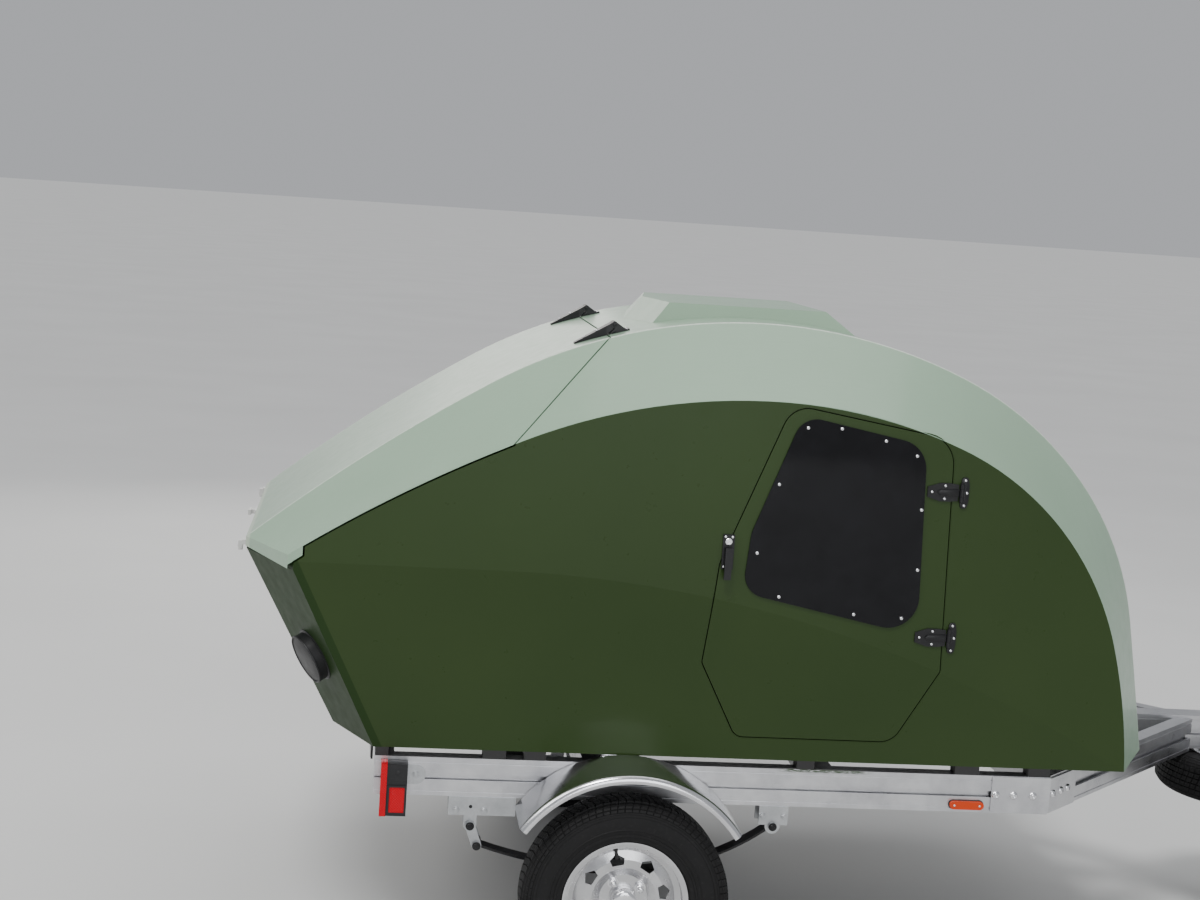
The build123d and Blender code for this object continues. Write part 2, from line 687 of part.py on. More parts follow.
def build_walls(outer_blank, inner_blank):
    """Floor, transom, corner panels, sides with doors, bulkhead and galley panels."""
    inside = hull(PANEL)
    cabin = (inside & inner_blank) - region(-FAR, FAR, -FAR, FAR, 2 * SKIRT, PANEL)
    floor = inside & inner_blank & region(-FAR, FAR, -FAR, FAR, 0, PANEL)
    add_body("floor_panel", floor)

    lip_foot = STATIONS[0][1] - HATCH_LIP
    tail_x = STATIONS[0][2] + 1
    below = foot_prism(0) + region(-FAR, tail_x, -FAR / 4, FAR / 4, SKIRT, lip_foot - HATCH_GAP)
    ring = (hull(0) & below) - inside
    clear = (outer_blank - roof_blank(PANEL + HATCH_GAP))
    clear_end_x = STATIONS[0][2] + 2 * PANEL + HATCH_GAP
    clear = clear & region(-FAR, clear_end_x, -FAR, FAR, lip_foot - HATCH_GAP, FAR)
    notch = foot_prism(0) - foot_prism(HATCH_GAP)
    notch = notch & region(-FAR, SEAM_FOOT_X, -FAR, FAR, lip_foot, FAR)
    ring = ring - clear - notch
    centre = region(-FAR, FAR, -ROOF_HALF_WIDTH, ROOF_HALF_WIDTH, -FAR, FAR)
    add_body("transom", ring & transom_space(PANEL) & centre)
    left = ring & region(-FAR, FAR, 0, FAR, -FAR, FAR)
    corner = (left & corner_space(PANEL)) - centre
    add_body("corner_panels", pair(corner))
    side = left - corner_space(PANEL) - centre
    opening = rounded_prism(DOOR_CORNERS, 0, FLOOR_HALF_WIDTH / 2, FAR / 2)
    door = side & rounded_prism(DOOR_CORNERS, -DOOR_GAP, FLOOR_HALF_WIDTH / 2, FAR / 2)
    door = door - rounded_prism(WINDOW_CORNERS, -WINDOW_LAP, FLOOR_HALF_WIDTH / 2, FAR / 2)
    side = side - opening
    pane = plan_prism(WINDOW_THICKNESS + FIT / 2) - plan_prism(FIT / 2)
    pane = pane & rounded_prism(WINDOW_CORNERS, 0, FLOOR_HALF_WIDTH / 2, FAR / 2)
    for name, piece in (("side", side), ("door", door), ("window", pane)):
        add_body(name + "_left", piece)
        add_body(name + "_right", mirrored(piece))

    bulkhead = cabin & region(BULKHEAD_X, BULKHEAD_X + PANEL, -FAR, FAR, 0, FAR)
    add_body("bulkhead", bulkhead)
    counter_top = COUNTER_HEIGHT + COUNTER_THICKNESS
    add_body("galley_counter", cabin & region(-FAR, BULKHEAD_X, -FAR, FAR, COUNTER_HEIGHT, counter_top))
    front = cabin & region(GALLEY_FRONT_X, GALLEY_FRONT_X + PANEL, -FAR, FAR, PANEL, COUNTER_HEIGHT)
    add_body("galley_front", front)


def build_hump(outer_blank):
    """Flat-topped hump on the roof with a pointed rear."""
    sink = HUMP_ROOT / HUMP_RISE
    low = []
    high = []
    for foot_x, top_x, foot_y, top_y in HUMP_CORNERS:
        low_x = foot_x + (foot_x - top_x) * sink
        low_y = foot_y + (foot_y - top_y) * sink
        low.append((low_x, low_y, HUMP_FOOT_HEIGHT - HUMP_ROOT))
        high.append((top_x, top_y, HUMP_TOP_HEIGHT))
    lower = Polyline(*low, close=True).wire()
    upper = Polyline(*high, close=True).wire()
    block = Solid.make_loft([lower, upper], ruled=True) - outer_blank
    add_body("roof_hump", block - region(-FAR, FAR, -FAR, FAR, 0, HUMP_FOOT_HEIGHT - HUMP_ROOT + 1))


def build_vents():
    """Round vents on the rear corner panels."""
    foot = Vector(TRANSOM_FOOT_X, ROOF_HALF_WIDTH, 0)
    along = Vector(CORNER_FOOT_X - TRANSOM_FOOT_X, FLOOR_HALF_WIDTH - ROOF_HALF_WIDTH, 0)
    rise = Vector(TRANSOM_TOP_X - TRANSOM_FOOT_X, 0, TRANSOM_TOP_HEIGHT)
    centre = foot + along * ((VENT_Y - ROOF_HALF_WIDTH) / along.Y) + rise * (VENT_HEIGHT / rise.Z)
    lean = along.cross(rise).normalized()
    if lean.Y < 0:
        lean = lean * -1
    disc = Plane(origin=centre + lean * FIT, z_dir=lean) * Pos(0, 0, VENT_DEPTH / 2)
    add_body("side_vents", pair(disc * Cylinder(VENT_RADIUS, VENT_DEPTH)))


def build_door_hinges():
    """Strap hinges at the front edge of each door, and the latch at its rear edge."""
    leaves = []
    straps = []
    axis_y = half_width(HINGE_AXIS_X) + DOOR_HINGE_OUT
    turn = math.degrees(math.atan2(half_width(HINGE_AXIS_X + 50) - half_width(HINGE_AXIS_X - 50), 100))
    seat = -DOOR_HINGE_OUT + FIT
    crown = seat + HINGE_PLATE
    radius = KNUCKLE_RADIUS
    room = 2 * radius
    barrel = STRAP_BARREL + BARREL_ROOM
    lower = [(-back, -half) for back, half in STRAP_OUTLINE]
    outline = lower + [(x, -z) for x, z in reversed(lower)]
    for height in HINGE_HEIGHTS:
        at_pin = Pos(HINGE_AXIS_X, axis_y, height) * Rot(0, 0, turn)
        leaf = region(LEAF_START, LEAF_END, seat, crown, -LEAF_HALF_HEIGHT, LEAF_HALF_HEIGHT)
        leaf = leaf + region(0, LEAF_START, seat, crown, -LEAF_BARREL, LEAF_BARREL)
        leaf = leaf + bar_z(0, 0, radius, -LEAF_BARREL, LEAF_BARREL)
        leaf = leaf - region(-room, radius + BARREL_ROOM, -room, room, -barrel, barrel)
        leaf = leaf + bar_z(0, 0, PIN_RADIUS, -LEAF_BARREL, LEAF_BARREL)
        strap = xz_prism(outline, seat, crown)
        strap = strap - region(-radius - 2, radius + 2, -room, room, STRAP_BARREL, LEAF_BARREL + radius)
        strap = strap - region(-radius - 2, radius + 2, -room, room, -LEAF_BARREL - radius, -STRAP_BARREL)
        strap = strap + bar_z(0, 0, radius, -STRAP_BARREL, STRAP_BARREL)
        strap = strap - bar_z(0, 0, PIN_RADIUS + PIN_ROOM, -STRAP_BARREL, STRAP_BARREL)
        leaves.append(at_pin * leaf)
        straps.append(at_pin * strap)
    add("door_hinge_leaves", pair(Pos(0, 0, FLOOR_Z) * joined(leaves)))
    add_both("door_straps", Pos(0, 0, FLOOR_Z) * joined(straps))
    at_latch = Pos(LATCH_X, half_width(LATCH_X) + 2 * FIT, LATCH_HEIGHT + FLOOR_Z)
    latch = region(-LATCH_BASE_HALF_WIDTH, LATCH_BASE_HALF_WIDTH, 0, LATCH_BASE,
                   -LATCH_BASE_HALF_HEIGHT, LATCH_BASE_HALF_HEIGHT)
    latch = latch + bar_y(0, 0, LATCH_STEM_RADIUS, LATCH_BASE, LATCH_STEM)
    latch = latch + region(-LATCH_GRIP_HALF_WIDTH, LATCH_GRIP_HALF_WIDTH, LATCH_STEM - LATCH_GRIP, LATCH_STEM,
                           -LATCH_GRIP_DOWN, LATCH_GRIP_UP)
    add_both("door_latch", at_latch * latch)


def build_hatch_hinges():
    """Wedge-shaped strap hinges on the roof, the hatch handle and its corner latches."""
    axis_x = HATCH_AXIS_X
    axis_z = roof_height(axis_x) + HATCH_AXIS_RISE
    radius = HATCH_KNUCKLE_RADIUS
    half = HATCH_HINGE_HALF
    inner = HATCH_KNUCKLE_HALF
    rear_x = HATCH_SEAM_X - HATCH_GAP - 3 * FIT
    tip_x = axis_x - HATCH_STRAP_TIP
    lift = 2 * FIT
    underside = []
    for share in (0.0, 0.25, 0.5, 0.75, 1.0):
        x = tip_x + (rear_x - tip_x) * share
        underside.append((x, roof_height(x) + lift))
    tip_z = roof_height(tip_x) + lift + HATCH_PLATE
    crown = [(axis_x, axis_z - radius), (axis_x, axis_z + radius), (tip_x, tip_z)]
    strap = xz_prism(underside + crown, -half, half) + bar_y(axis_x, axis_z, radius, -half, half)
    front_x = axis_x + radius
    taper = ((tip_x - 1, -HATCH_TIP_HALF), (tip_x - 1, HATCH_TIP_HALF), (rear_x, half), (front_x, half),
             (front_x, -half), (rear_x, -half))
    strap = strap & xy_prism(taper, 0, FAR)
    for y0, y1 in ((-half - 1, -inner), (inner, half + 1)):
        strap = strap - bar_y(axis_x, axis_z, radius + 3 * FIT, y0, y1)
        strap = strap - region(axis_x - radius / 2, axis_x + radius + 1, y0, y1, 0, FAR)
    strap = strap - bar_y(axis_x, axis_z, HATCH_PIN_RADIUS + PIN_ROOM, -half, half)

    leaf_x = axis_x + (HATCH_LEAF_START + HATCH_LEAF_END) / 2
    reach = (HATCH_LEAF_END - HATCH_LEAF_START) / 2
    leaf = Pos(leaf_x, 0, roof_height(leaf_x) + lift) * Rot(0, -roof_angle(leaf_x), 0)
    leaf = leaf * region(-reach, reach, -half, half, 0, HATCH_PLATE)
    base_z = roof_height(leaf_x) + lift
    cheek = ((axis_x - radius * 0.6, axis_z - radius * 0.8), (leaf_x - reach + 2, base_z - 3),
             (leaf_x + reach - 8, base_z + HATCH_PLATE), (axis_x + radius * 0.7, axis_z + radius * 0.7))
    for y0, y1 in ((-half, -inner - BARREL_ROOM), (inner + BARREL_ROOM, half)):
        leaf = leaf + bar_y(axis_x, axis_z, radius, y0, y1) + xz_prism(cheek, y0, y1)
    leaf = leaf + bar_y(axis_x, axis_z, HATCH_PIN_RADIUS, -half, half)
    add_body("hatch_straps", pair(Pos(0, HATCH_HINGE_Y, 0) * strap))
    add_body("hatch_hinge_leaves", pair(Pos(0, HATCH_HINGE_Y, 0) * leaf))

    back = STATIONS[0][0] - FIT
    middle = HANDLE_HEIGHT
    tall = HANDLE_HALF_HEIGHT
    wide = HANDLE_HALF_WIDTH
    handle = region(back - HANDLE_BASE, back, -wide, wide, middle - tall - 1, middle + tall - 1)
    handle = handle + region(back - HANDLE_STAND, back - HANDLE_BASE, -tall, tall,
                             middle - tall + 1, middle + tall - 3)
    handle = handle + region(back - HANDLE_GRIP, back - HANDLE_STAND + 2, -wide + tall, wide - tall,
                             middle - tall, middle + tall - 2)
    foot = STATIONS[0][1] - HATCH_LIP
    side = CORNER_LATCH_HALF
    deep = CORNER_LATCH_DEPTH
    drop = CORNER_LATCH_DROP
    latch = region(back - deep / 2, back, -side, side, foot + 1, foot + drop)
    latch = latch + region(back - deep, back - deep / 2 + 2, 3 - side, side - 3, foot - drop, foot + drop - 3)
    add_body("hatch_latches", handle + pair(Pos(0, CORNER_LATCH_Y, 0) * latch))


# Trailer frame

def rail_section():
    """Extruded rail section with a bolt slot and grooves on its outer face."""
    half = RAIL_WIDTH / 2
    wall = EXTRUSION_WALL
    back = half - SLOT_DEPTH - wall
    shape = Rectangle(RAIL_WIDTH, RAIL_HEIGHT)
    low = SLOT_INSIDE / 2 + wall
    high = RAIL_HEIGHT / 2 - wall
    for sign in (-1, 1):
        shape -= Pos(0, sign * (low + high) / 2) * Rectangle(RAIL_WIDTH - 2 * wall, high - low)
    shape -= Pos((back - half + wall) / 2, 0) * Rectangle(back + half - wall, SLOT_INSIDE)
    return shape - face_slot(half)


def face_slot(face):
    """Bolt slot and grooves of an extrusion's outer face, as areas to cut away."""
    cut = Pos(face, 0) * Rectangle(2 * EXTRUSION_WALL, SLOT_MOUTH)
    cut += Pos(face - (SLOT_DEPTH + SLOT_LIP) / 2, 0) * Rectangle(SLOT_DEPTH - SLOT_LIP, SLOT_INSIDE)
    for offset_z in (-GROOVE_OFFSET, GROOVE_OFFSET):
        cut += Pos(face, offset_z) * Rectangle(2 * GROOVE_DEPTH, GROOVE_WIDTH)
    return cut


def tongue_section():
    """Extruded tongue section with a bolt slot and grooves on both sides."""
    half = TONGUE_WIDTH / 2
    height = TONGUE_TOP - TONGUE_BOTTOM
    hollow = TONGUE_WIDTH - 2 * (SLOT_DEPTH + EXTRUSION_WALL)
    shape = Rectangle(TONGUE_WIDTH, height) - Rectangle(hollow, height - 2 * EXTRUSION_WALL)
    slot = face_slot(half)
    return shape - slot - Rot(0, 0, 180) * slot


def build_frame():
    """Rails, crossmembers, arms, tongue and their plates."""
    middle = RAIL_TOP - RAIL_HEIGHT / 2
    section = Plane.YZ * Pos(FRAME_HALF_WIDTH - RAIL_WIDTH / 2, middle) * rail_section()
    add_both("rail", extrude(section, amount=RAIL_LENGTH, dir=(1, 0, 0)))

    half = FRAME_HALF_WIDTH - RAIL_WIDTH
    wall = EXTRUSION_WALL
    low = RAIL_TOP - CROSSMEMBER_HEIGHT
    solids = []
    for start in CROSSMEMBER_STARTS:
        tube = region(start, start + CROSSMEMBER_WIDTH, -half, half, low, RAIL_TOP)
        end = start + CROSSMEMBER_WIDTH
        hole = region(start + wall, end - wall, -half, half, low + wall, RAIL_TOP - wall)
        solids.append(tube - hole)
    add("crossmembers", joined(solids))

    side = TONGUE_WIDTH / 2
    along = Vector(math.cos(ARM_TURN), -math.sin(ARM_TURN), 0)
    outward = Vector(math.sin(ARM_TURN), math.cos(ARM_TURN), 0)
    corner = Vector(RAIL_LENGTH, FRAME_HALF_WIDTH, 0)
    start = corner - along * 2 * RAIL_WIDTH + Vector(0, 0, ARM_TOP - RAIL_HEIGHT / 2)
    section = Plane(origin=start, x_dir=outward, z_dir=along) * Pos(-RAIL_WIDTH / 2, 0) * rail_section()
    arm = extrude(section, amount=FAR / 2, dir=along)
    arm = arm & region(RAIL_LENGTH, FAR, side, FAR, 0, FAR)
    add("drawbar_arms", pair(arm))

    arm_plane = Plane(origin=corner, x_dir=along, z_dir=(0, 0, 1))
    rear = region(RAIL_LENGTH - CORNER_PLATE_REAR, RAIL_LENGTH, FRAME_HALF_WIDTH,
                  FRAME_HALF_WIDTH + PLATE_THICKNESS, CORNER_PLATE_LOW, CORNER_PLATE_HIGH)
    front = arm_plane * region(0, CORNER_PLATE_FRONT, 0, PLATE_THICKNESS, CORNER_PLATE_LOW, CORNER_PLATE_HIGH)
    bend = bar_z(RAIL_LENGTH, FRAME_HALF_WIDTH, PLATE_THICKNESS, CORNER_PLATE_LOW, CORNER_PLATE_HIGH)
    arm_room = arm_plane * region(0, FAR, -RAIL_WIDTH, 0, 0, FAR)
    rail_room = region(-FAR, RAIL_LENGTH, -FAR, FRAME_HALF_WIDTH, 0, FAR)
    add("corner_plates", pair((rear + front + bend) - arm_room - rail_room))

    apex = ((APEX_START_X, APEX_REAR_HALF), (APEX_END_X, APEX_FRONT_HALF),
            (APEX_END_X, -APEX_FRONT_HALF), (APEX_START_X, -APEX_REAR_HALF))
    apex_plate = xy_prism(apex, ARM_BOTTOM - PLATE_THICKNESS, ARM_BOTTOM)
    apex_plate = apex_plate + region(APEX_START_X, APEX_END_X, -side, side, ARM_BOTTOM, TONGUE_BOTTOM)
    plate = region(CHAIN_PLATE_X - CHAIN_PLATE_LENGTH / 2, CHAIN_PLATE_X + CHAIN_PLATE_LENGTH / 2,
                   -CHAIN_PLATE_HALF, CHAIN_PLATE_HALF, TONGUE_BOTTOM - CHAIN_PLATE_THICKNESS, TONGUE_BOTTOM)
    for y in (-CHAIN_HOLE_Y, CHAIN_HOLE_Y):
        plate = plate - bar_z(CHAIN_PLATE_X, y, CHAIN_HOLE_RADIUS, 0, FAR)
    add("tongue_plates", apex_plate + plate)

    section = Plane.YZ * Pos(0, (TONGUE_BOTTOM + TONGUE_TOP) / 2) * tongue_section()
    tongue = extrude(section, amount=TONGUE_END_X - RAIL_LENGTH, dir=(1, 0, 0))
    add("tongue", Pos(RAIL_LENGTH, 0, 0) * tongue)

    pads = []
    for start, end in MOUNTS:
        pads.append(region(start, end, FRAME_HALF_WIDTH - RAIL_WIDTH, FRAME_HALF_WIDTH, RAIL_TOP, FLOOR_Z))
    add("body_mounts", pair(joined(pads)))


def joined(solids):
    """One shape from separate solids."""
    shape = solids[0]
    for solid in solids[1:]:
        shape = shape + solid
    return shape


def build_coupler():
    """Ball coupler at the front of the tongue."""
    side = COUPLER_WIDTH / 2
    nose = COUPLER_NOSE_RADIUS
    outline = ((COUPLER_START_X, side), (COUPLER_TAPER_X, side), (BALL_X, nose),
               (BALL_X, -nose), (COUPLER_TAPER_X, -side), (COUPLER_START_X, -side))
    body = xy_prism(outline, COUPLER_BOTTOM, COUPLER_NOSE_TOP)
    body = body + bar_z(BALL_X, 0, nose, COUPLER_BOTTOM, COUPLER_NOSE_TOP)
    body = body + region(COUPLER_START_X, COUPLER_TAPER_X, -side, side, COUPLER_BOTTOM, COUPLER_TOP)
    half = TONGUE_WIDTH / 2 + FIT
    body = body - region(RAIL_LENGTH, TONGUE_END_X + FIT, -half, half, 0, TONGUE_TOP + FIT)
    ball_z = COUPLER_BOTTOM + SOCKET_DEPTH
    body = body - bar_z(BALL_X, 0, SOCKET_RADIUS, 0, ball_z) - Pos(BALL_X, 0, ball_z) * Sphere(SOCKET_RADIUS)
    points = [(BALL_X + x, COUPLER_TOP + z) for x, z in LEVER_OUTLINE]
    add("coupler", body + xz_prism(points, -LEVER_HALF_WIDTH, LEVER_HALF_WIDTH))


def build_jack():
    """Parking jack on the left side of the tongue, standing on its foot."""
    x = JACK_X
    y = JACK_Y
    face = TONGUE_WIDTH / 2
    top = JACK_TUBE_TOP + JACK_CAP
    tube = bar_z(x, y, JACK_TUBE_RADIUS, JACK_TUBE_BOTTOM, top)
    tube = tube - bar_z(x, y, JACK_TUBE_BORE, 0, JACK_TUBE_TOP)
    plate_face = face + JACK_PLATE_THICKNESS
    reach = JACK_PLATE_HALF
    tube = tube + region(x - reach, x + reach, face, plate_face, JACK_PLATE_LOW, JACK_PLATE_HIGH)
    for low in COLLAR_HEIGHTS:
        high = low + COLLAR_DEPTH
        collar = bar_z(x, y, JACK_TUBE_RADIUS + COLLAR_WALL, low, high)
        collar = collar + region(x - COLLAR_HALF, x + COLLAR_HALF, plate_face, y, low, high)
        tube = tube + (collar - bar_z(x, y, JACK_TUBE_RADIUS, 0, FAR))
    add("jack_tube", tube)
    leg = bar_z(x, y, JACK_LEG_RADIUS, JACK_FOOT_THICKNESS, JACK_LEG_TOP)
    add("jack_leg", leg + bar_z(x, y, JACK_FOOT_RADIUS, 0, JACK_FOOT_THICKNESS))
    end = x - CRANK_REACH
    arm_low = top + CRANK_HUB_HEIGHT - CRANK_ARM_THICKNESS
    arm_high = top + CRANK_HUB_HEIGHT
    grip_low = arm_high + CRANK_HUB_HEIGHT
    crank = bar_z(x, y, CRANK_HUB_RADIUS, top, arm_high)
    crank = crank + region(end, x, y - CRANK_ARM_HALF, y + CRANK_ARM_HALF, arm_low, arm_high)
    crank = crank + bar_z(end, y, CRANK_PIN_RADIUS, arm_low, grip_low)
    crank = crank + bar_z(end, y, CRANK_GRIP_RADIUS, grip_low, grip_low + CRANK_GRIP_LENGTH)
    add("jack_crank", crank)


# Running gear

# Section of the pressed wheel. Columns: radius, distance outwards from the disc's seat
WHEEL_OUTLINE = (
    (163.0, -52.0), (163.0, -48.0), (153.0, -46.0), (151.0, -27.0), (136.0, -18.0), (136.0, 14.0),
    (151.0, 24.0), (153.0, 46.0), (163.0, 48.0), (163.0, 52.0), (158.0, 52.0), (149.0, 49.0),
    (147.0, 27.0), (132.0, 17.0), (132.0, 9.0), (106.0, 19.0), (84.0, 19.0), (62.0, DISC_THICKNESS),
    (33.0, DISC_THICKNESS), (33.0, 0.0), (62.0, 0.0), (84.0, 14.0), (106.0, 14.0), (132.0, 4.0),
    (132.0, -20.0), (147.0, -29.0), (149.0, -49.0), (158.0, -52.0),
)
# Section of the tyre. Columns: radius, distance outwards from its middle
TYRE_OUTLINE = (
    (153.3, -45.5), (163.6, -45.5), (164.4, -53.0), (176.0, -59.0), (200.0, -62.5), (224.0, -62.5),
    (248.0, -59.0), (264.0, -52.0), (TYRE_RADIUS, -42.0), (TYRE_RADIUS, 42.0), (264.0, 52.0), (248.0, 59.0),
    (224.0, 62.5), (200.0, 62.5), (176.0, 59.0), (164.4, 53.0), (163.6, 45.5), (153.3, 45.5),
)
# Outline of one kite-shaped hole. Columns: distance across, radius
KITE_OUTLINE = ((-15.0, 92.0), (15.0, 92.0), (20.0, 108.0), (0.0, 122.0), (-20.0, 108.0))
KITE_COUNT = 8
WHEEL_TURN = 10.0
STUD_HOLE_RADIUS = 7.0


def lug_places():
    """Places of the wheel studs as (x, z) about the axle."""
    places = []
    for index in range(LUG_COUNT):
        turn = math.radians((index + 0.5) * 360 / LUG_COUNT - WHEEL_TURN)
        places.append((LUG_CIRCLE / 2 * math.cos(turn), LUG_CIRCLE / 2 * math.sin(turn)))
    return places


def wheel_rim():
    """Pressed wheel with a dished disc and a ring of kite-shaped holes, outer side towards +Y."""
    rim = turned(WHEEL_OUTLINE)
    for index in range(KITE_COUNT):
        angle = (index + 0.5) * 360 / KITE_COUNT + WHEEL_TURN
        rim = rim - Rot(0, angle, 0) * xz_prism(KITE_OUTLINE, -DISC_THICKNESS, HUB_RADIUS)
    return rim


def build_wheels():
    """Road wheels with their hubs, tyres, and the spare under the tongue."""
    rim = wheel_rim()
    hub = bar_y(0, 0, HUB_RADIUS, HUB_BACK_Y, HUB_FLANGE_Y) + bar_y(0, 0, HUB_FLANGE_RADIUS, HUB_FLANGE_Y, 0)
    hub = hub + bar_y(0, 0, HUB_CAP_RADIUS, 0, HUB_CAP_HEIGHT)
    hub = hub + bar_y(0, 0, HUB_TIP_RADIUS, HUB_CAP_HEIGHT, HUB_TIP_HEIGHT)
    hub = hub - bar_y(0, 0, SPINDLE_RADIUS + FIT, HUB_BACK_Y, HUB_FLANGE_Y - 2)
    for x, z in lug_places():
        hub = hub + bar_y(x, z, LUG_SEAT_RADIUS, 0, LUG_SEAT_HEIGHT)
        hub = hub + bar_y(x, z, LUG_END_RADIUS, LUG_SEAT_HEIGHT, LUG_END_HEIGHT)
    at_wheel = Pos(AXLE_X, WHEEL_CENTRE_Y, TYRE_RADIUS)
    add_both("wheel", at_wheel * (rim + hub))
    tyre = turned(TYRE_OUTLINE)
    add_both("tyre", at_wheel * tyre)

    at_spare = Pos(SPARE_X, 0, SPARE_MID_Z) * Rot(-90, 0, 0)
    for x, z in lug_places():
        rim = rim - bar_y(x, z, STUD_HOLE_RADIUS, -DISC_THICKNESS, 2 * DISC_THICKNESS)
    add("spare_rim", at_spare * rim)
    add("spare_tyre", at_spare * tyre)
    side = TONGUE_WIDTH / 2
    plate_low = TONGUE_BOTTOM - CARRIER_PLATE
    disc_low = SPARE_MID_Z - DISC_THICKNESS - FIT
    carrier = region(SPARE_X - CARRIER_HALF, SPARE_X + CARRIER_HALF, -side, side, plate_low, TONGUE_BOTTOM)
    carrier = carrier + bar_z(SPARE_X, 0, CARRIER_POST_RADIUS, SPARE_MID_Z, plate_low)
    carrier = carrier + bar_z(SPARE_X, 0, CARRIER_STUD_RADIUS, SPARE_MID_Z - CARRIER_STUD_LENGTH, SPARE_MID_Z)
    carrier = carrier + bar_z(SPARE_X, 0, CARRIER_WASHER_RADIUS, disc_low - CARRIER_WASHER, disc_low)
    add("spare_carrier", carrier)


def leaf_half(eye, seat, drop):
    """Half a curved leaf, level at its seat and rising to its eye, lowered by a drop."""
    run = eye[0] - seat[0]
    rise = eye[1] - seat[1]
    radius = (run * run + rise * rise) / (2 * rise)
    sweep = math.atan2(run, radius - rise)
    y1 = SPRING_Y + SPRING_WIDTH / 2
    corners = []
    for r in (radius + drop - LEAF_THICKNESS / 2, radius + drop + LEAF_THICKNESS / 2):
        for share in (0.0, 0.5, 1.0):
            turn = sweep * share
            corners.append((seat[0] + r * math.sin(turn), y1, seat[1] + radius - r * math.cos(turn)))
    edges = [
        ThreePointArc(corners[0], corners[1], corners[2]),
        Line(corners[2], corners[5]),
        ThreePointArc(corners[5], corners[4], corners[3]),
        Line(corners[3], corners[0]),
    ]
    return extrude(Face(Wire(edges)), amount=SPRING_WIDTH, dir=(0, -1, 0))


def build_axle():
    """Axle, leaf springs, hangers, shackles and clamps."""
    half = AXLE_SIZE / 2
    end = WHEEL_CENTRE_Y - AXLE_INSET
    axle = region(AXLE_X - half, AXLE_X + half, -end, end, TYRE_RADIUS - half, TYRE_RADIUS + half)
    add("axle", axle + pair(bar_y(AXLE_X, TYRE_RADIUS, SPINDLE_RADIUS, end, end + SPINDLE_LENGTH)))

    seat_z = TYRE_RADIUS + half + FIT
    rear_eye = (SHACKLE_LOW_X, SHACKLE_LOW_Z)
    front_eye = (FRONT_EYE_X, FRONT_EYE_Z)
    y0 = SPRING_Y - SPRING_WIDTH / 2
    y1 = SPRING_Y + SPRING_WIDTH / 2
    seat = (AXLE_X, seat_z + LEAF_THICKNESS * 1.5)
    main = leaf_half(rear_eye, seat, 0) + leaf_half(front_eye, seat, 0)
    helper = leaf_half(rear_eye, seat, LEAF_THICKNESS) + leaf_half(front_eye, seat, LEAF_THICKNESS)
    spring = main + (helper & region(AXLE_X - HELPER_REAR, AXLE_X + HELPER_FRONT, 0, FAR, 0, FAR))
    for x, z in (rear_eye, front_eye):
        spring = spring + bar_y(x, z, EYE_RADIUS, y0, y1) - bar_y(x, z, PIN_BORE, y0, y1)
    add("leaf_springs", pair(spring))

    outer = y1 + HANGER_SIDE_ROOM
    inner = y0 - HANGER_SIDE_ROOM
    top = RAIL_TOP - RAIL_HEIGHT
    room = region(0, FAR, inner + HANGER_WALL, outer - HANGER_WALL, 0, top - HANGER_ROOF)
    x = SHACKLE_TOP_X
    rear = region(x - REAR_HANGER_BACK, x + REAR_HANGER_AHEAD, inner, outer, REAR_HANGER_LOW, top) - room
    ears = link(x, SHACKLE_TOP_Z, x, EAR_TOP, EAR_RADIUS, y0 + 1, y0 + 1 + HANGER_WALL)
    ears = ears + link(x, SHACKLE_TOP_Z, x, EAR_TOP, EAR_RADIUS, y1 - 1 - HANGER_WALL, y1 - 1)
    ears = ears - bar_y(x, SHACKLE_TOP_Z, PIN_BORE, 0, FAR)
    x = FRONT_EYE_X
    front = region(x - FRONT_HANGER_BACK, x + FRONT_HANGER_AHEAD, inner, outer, FRONT_HANGER_LOW, top)
    front = front + link(x, FRONT_EYE_Z, x, FRONT_LUG_TOP, FRONT_LUG_RADIUS, inner, outer)
    front = (front - room) - bar_y(x, FRONT_EYE_Z, PIN_BORE, 0, FAR)
    add("spring_hangers", pair(joined([rear, ears, front])))

    links = []
    for start in (y0 - SHACKLE_THICKNESS - FIT, y1 + FIT):
        links.append(link(SHACKLE_TOP_X, SHACKLE_TOP_Z, SHACKLE_LOW_X, SHACKLE_LOW_Z, SHACKLE_RADIUS,
                          start, start + SHACKLE_THICKNESS))
    pins = []
    for x, z in ((SHACKLE_TOP_X, SHACKLE_TOP_Z), (SHACKLE_LOW_X, SHACKLE_LOW_Z), (FRONT_EYE_X, FRONT_EYE_Z)):
        pin = bar_y(x, z, PIN_BORE - 0.1, inner - PIN_HEAD, outer + PIN_HEAD)
        pin = pin + bar_y(x, z, PIN_HEAD_RADIUS, outer, outer + PIN_HEAD)
        pins.append(pin + bar_y(x, z, PIN_HEAD_RADIUS, inner - PIN_HEAD, inner))
    add("shackles", pair(joined(links + pins)))

    top = seat_z + 2 * LEAF_THICKNESS + 4 * FIT
    low = TYRE_RADIUS - half
    reach = half + CLAMP_REACH
    crest = top + CLAMP_THICKNESS
    clamp = region(AXLE_X - reach, AXLE_X + reach, y0 - CLAMP_SIDE, y1 + CLAMP_SIDE, top, crest)
    clamp = clamp + region(AXLE_X - reach, AXLE_X + reach, y0 - CLAMP_SIDE, y1 + CLAMP_SIDE,
                           low - CLAMP_THICKNESS, low)
    reach = CLAMP_THICKNESS + CLAMP_BOLT_END
    bolts = []
    for x in (AXLE_X - half - CLAMP_BOLT_X, AXLE_X + half + CLAMP_BOLT_X):
        for y in (y0 - CLAMP_BOLT_Y, y1 + CLAMP_BOLT_Y):
            bolts.append(bar_z(x, y, CLAMP_BOLT_RADIUS, low - reach, top + reach))
    add("axle_clamps", pair(joined([clamp] + bolts)))


